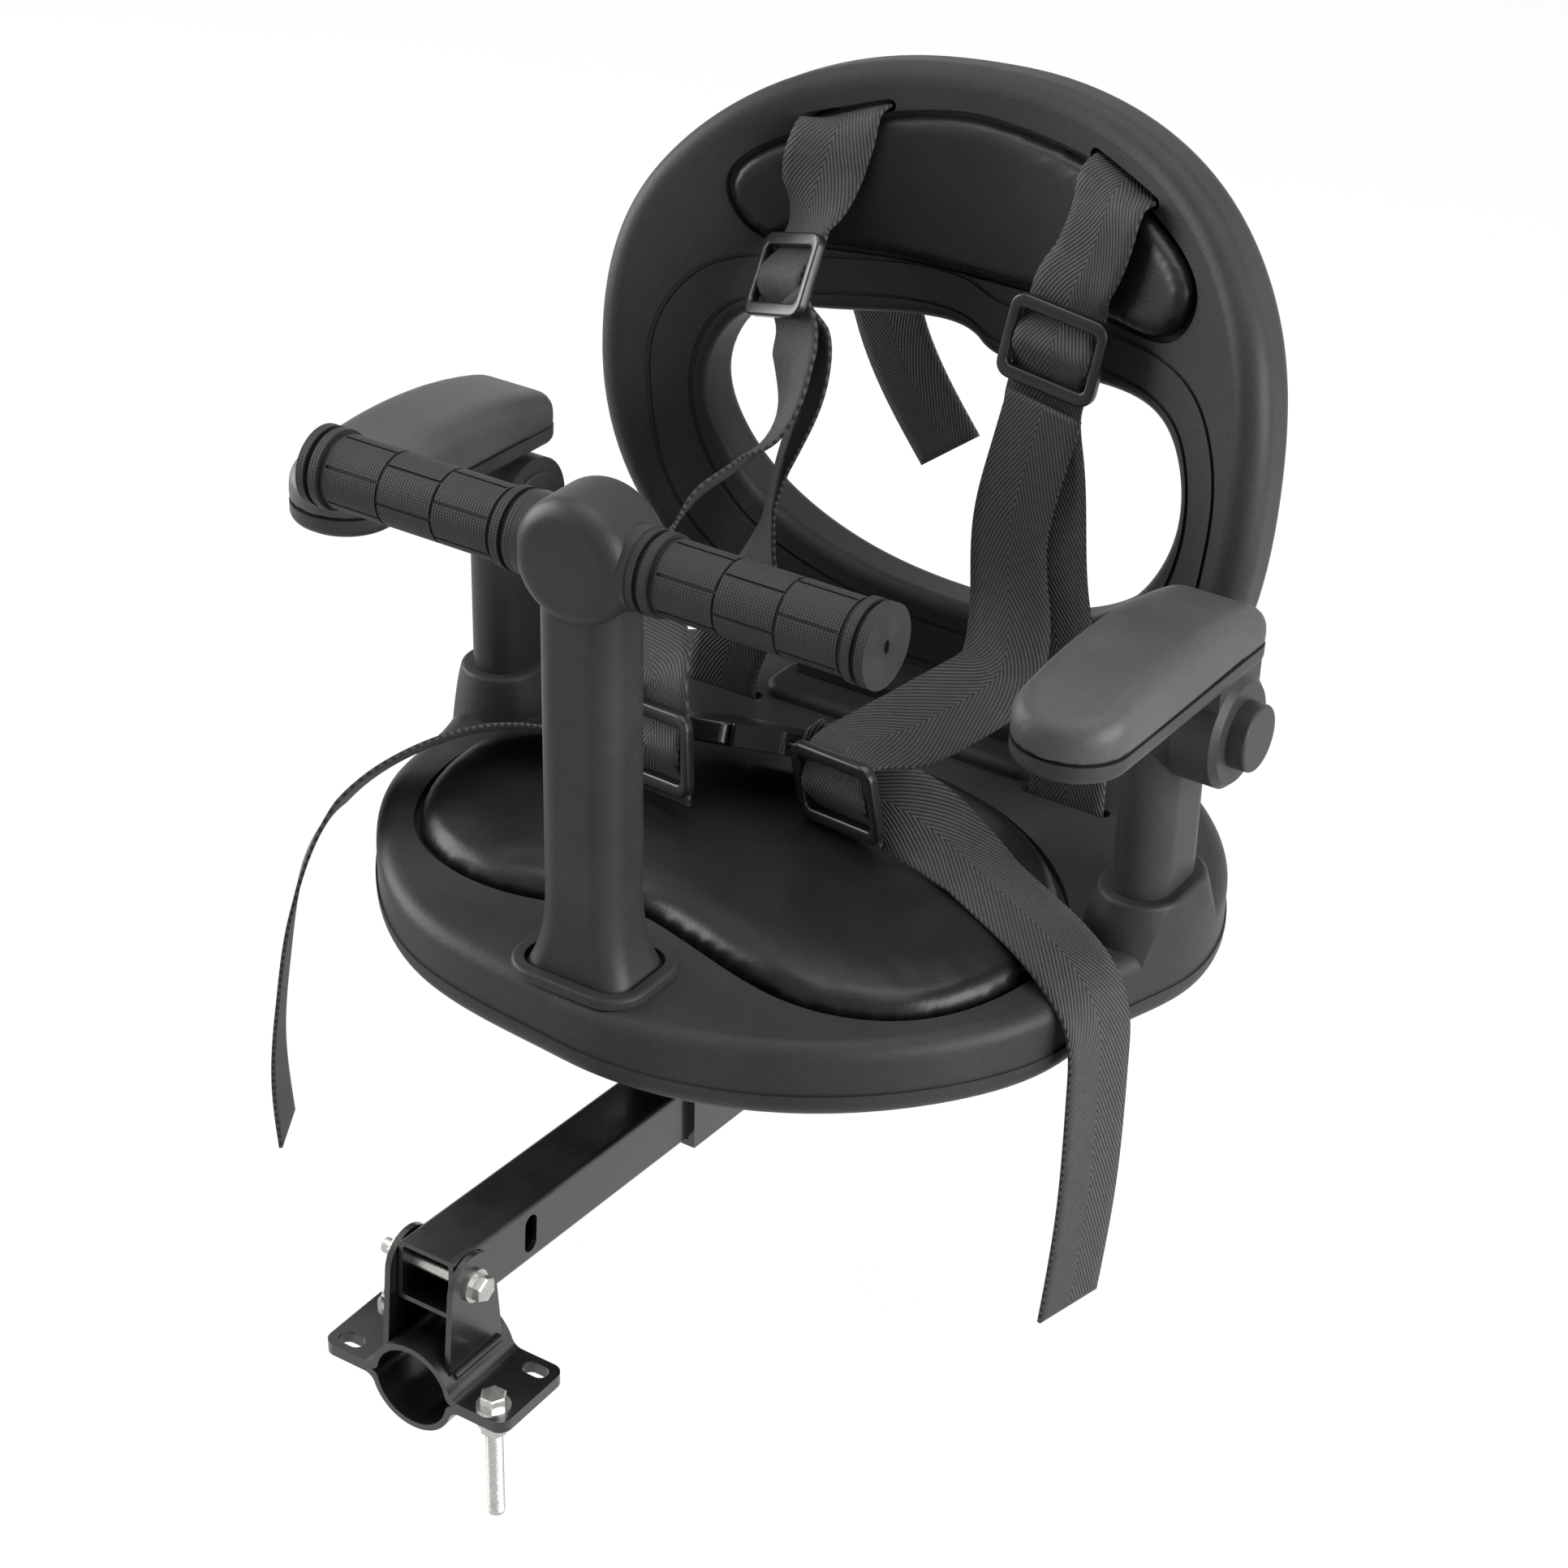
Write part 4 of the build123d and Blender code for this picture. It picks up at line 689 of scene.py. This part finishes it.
# %% White floor and studio lamps
scene = bpy.context.scene
scene.view_settings.view_transform = "Standard"
FLOOR_DROP, FLOOR_HALF = 30 * MM, 20.0
WORLD_LIGHT, GLOW_SHARE = 0.07, 0.94


def seen(tree):
    """One where a ray comes from the camera, from a reflection or through something clear."""
    path = add(tree, "LightPath")
    first = add(tree, "Math", {
        0: path.outputs["Is Camera Ray"], 1: path.outputs["Is Glossy Ray"]}, operation="MAXIMUM")
    return add(tree, "Math", {
        0: first.outputs[0], 1: path.outputs["Is Transmission Ray"]}, operation="MAXIMUM").outputs[0]


world = bpy.data.worlds.new("studio")
scene.world = world
world.use_nodes = True
world.node_tree.nodes.clear()
level = add(world.node_tree, "MapRange", {
    "Value": seen(world.node_tree), "To Min": WORLD_LIGHT, "To Max": 1.0})
sky = add(world.node_tree, "Background", {"Color": linear("#ffffff"), "Strength": level.outputs["Result"]})
add(world.node_tree, "OutputWorld", {"Surface": sky.outputs["Background"]})

paper = bpy.data.materials.new("white paper")
paper.use_nodes = True
paper.node_tree.nodes.clear()
matt = add(paper.node_tree, "BsdfDiffuse", {"Color": linear("#f4f4f4")})
glow = add(paper.node_tree, "Emission", {"Color": linear("#ffffff"), "Strength": 1.0})
share = add(paper.node_tree, "Math", {0: seen(paper.node_tree), 1: GLOW_SHARE}, operation="MULTIPLY")
both = add(paper.node_tree, "MixShader", {
    0: share.outputs[0], 1: matt.outputs["BSDF"], 2: glow.outputs["Emission"]})
add(paper.node_tree, "OutputMaterial", {"Surface": both.outputs["Shader"]})

floor_mesh = bpy.data.meshes.new("floor")
floor_z = cad_low[2] - FLOOR_DROP
corners = [(x * FLOOR_HALF, y * FLOOR_HALF, floor_z) for x, y in ((-1, -1), (1, -1), (1, 1), (-1, 1))]
floor_mesh.from_pydata(corners, [], [(0, 1, 2, 3)])
floor = linked("floor", floor_mesh)
dress(floor, paper)

middle = (Vector(cad_low) + Vector(cad_high)) / 2


def lamp(name, place, size, watts):
    """A square soft box looking at the middle of the seat."""
    light = bpy.data.lights.new(name, "AREA")
    light.shape = "SQUARE"
    light.size = size
    light.energy = watts
    piece = linked(name, light)
    piece.location = place
    piece.rotation_euler = (middle - Vector(place)).to_track_quat("-Z", "Y").to_euler()


lamp("top soft box", place=(0.0, 0.3, 1.9), size=1.6, watts=33)
lamp("right soft box", place=(1.6, 0.15, 0.65), size=1.3, watts=66)
lamp("left soft box", place=(-1.6, -0.2, 0.75), size=1.4, watts=60)
print("floor at mm:", round(floor_z / MM))

# %% [markdown]
# ## Camera
# The photograph was measured against the two mirrored halves of the seat, which gave where the camera stood,
# which way it looked and its focal length. A camera in Blender looks along its own -Z, so its three axes are
# the picture's right, the picture's up and the way back to the viewer.

# %% Camera at the photograph's place
AZIMUTH, ELEVATION, ROLL = radians(32.7), radians(30.47), radians(1.41)
EYE = Vector((0.6297, -0.7578, 0.8256))
FOCAL_PIXELS, PICTURE_PIXELS, SENSOR = 4207.7, 1932, 36.0
ahead = Vector((-sin(AZIMUTH) * cos(ELEVATION), cos(AZIMUTH) * cos(ELEVATION), -sin(ELEVATION)))
level_right = Vector((cos(AZIMUTH), sin(AZIMUTH), 0))
level_up = level_right.cross(ahead)
picture_right = level_right * cos(ROLL) + level_up * sin(ROLL)
picture_up = level_up * cos(ROLL) - level_right * sin(ROLL)
turn = Matrix((picture_right, picture_up, -ahead)).transposed()

camera_data = bpy.data.cameras.new("camera")
camera_data.sensor_width = SENSOR
camera_data.lens = FOCAL_PIXELS / PICTURE_PIXELS * SENSOR
camera = linked("camera", camera_data)
camera.matrix_world = Matrix.Translation(EYE) @ turn.to_4x4()
scene.camera = camera
print("lens in mm:", round(camera_data.lens, 1))
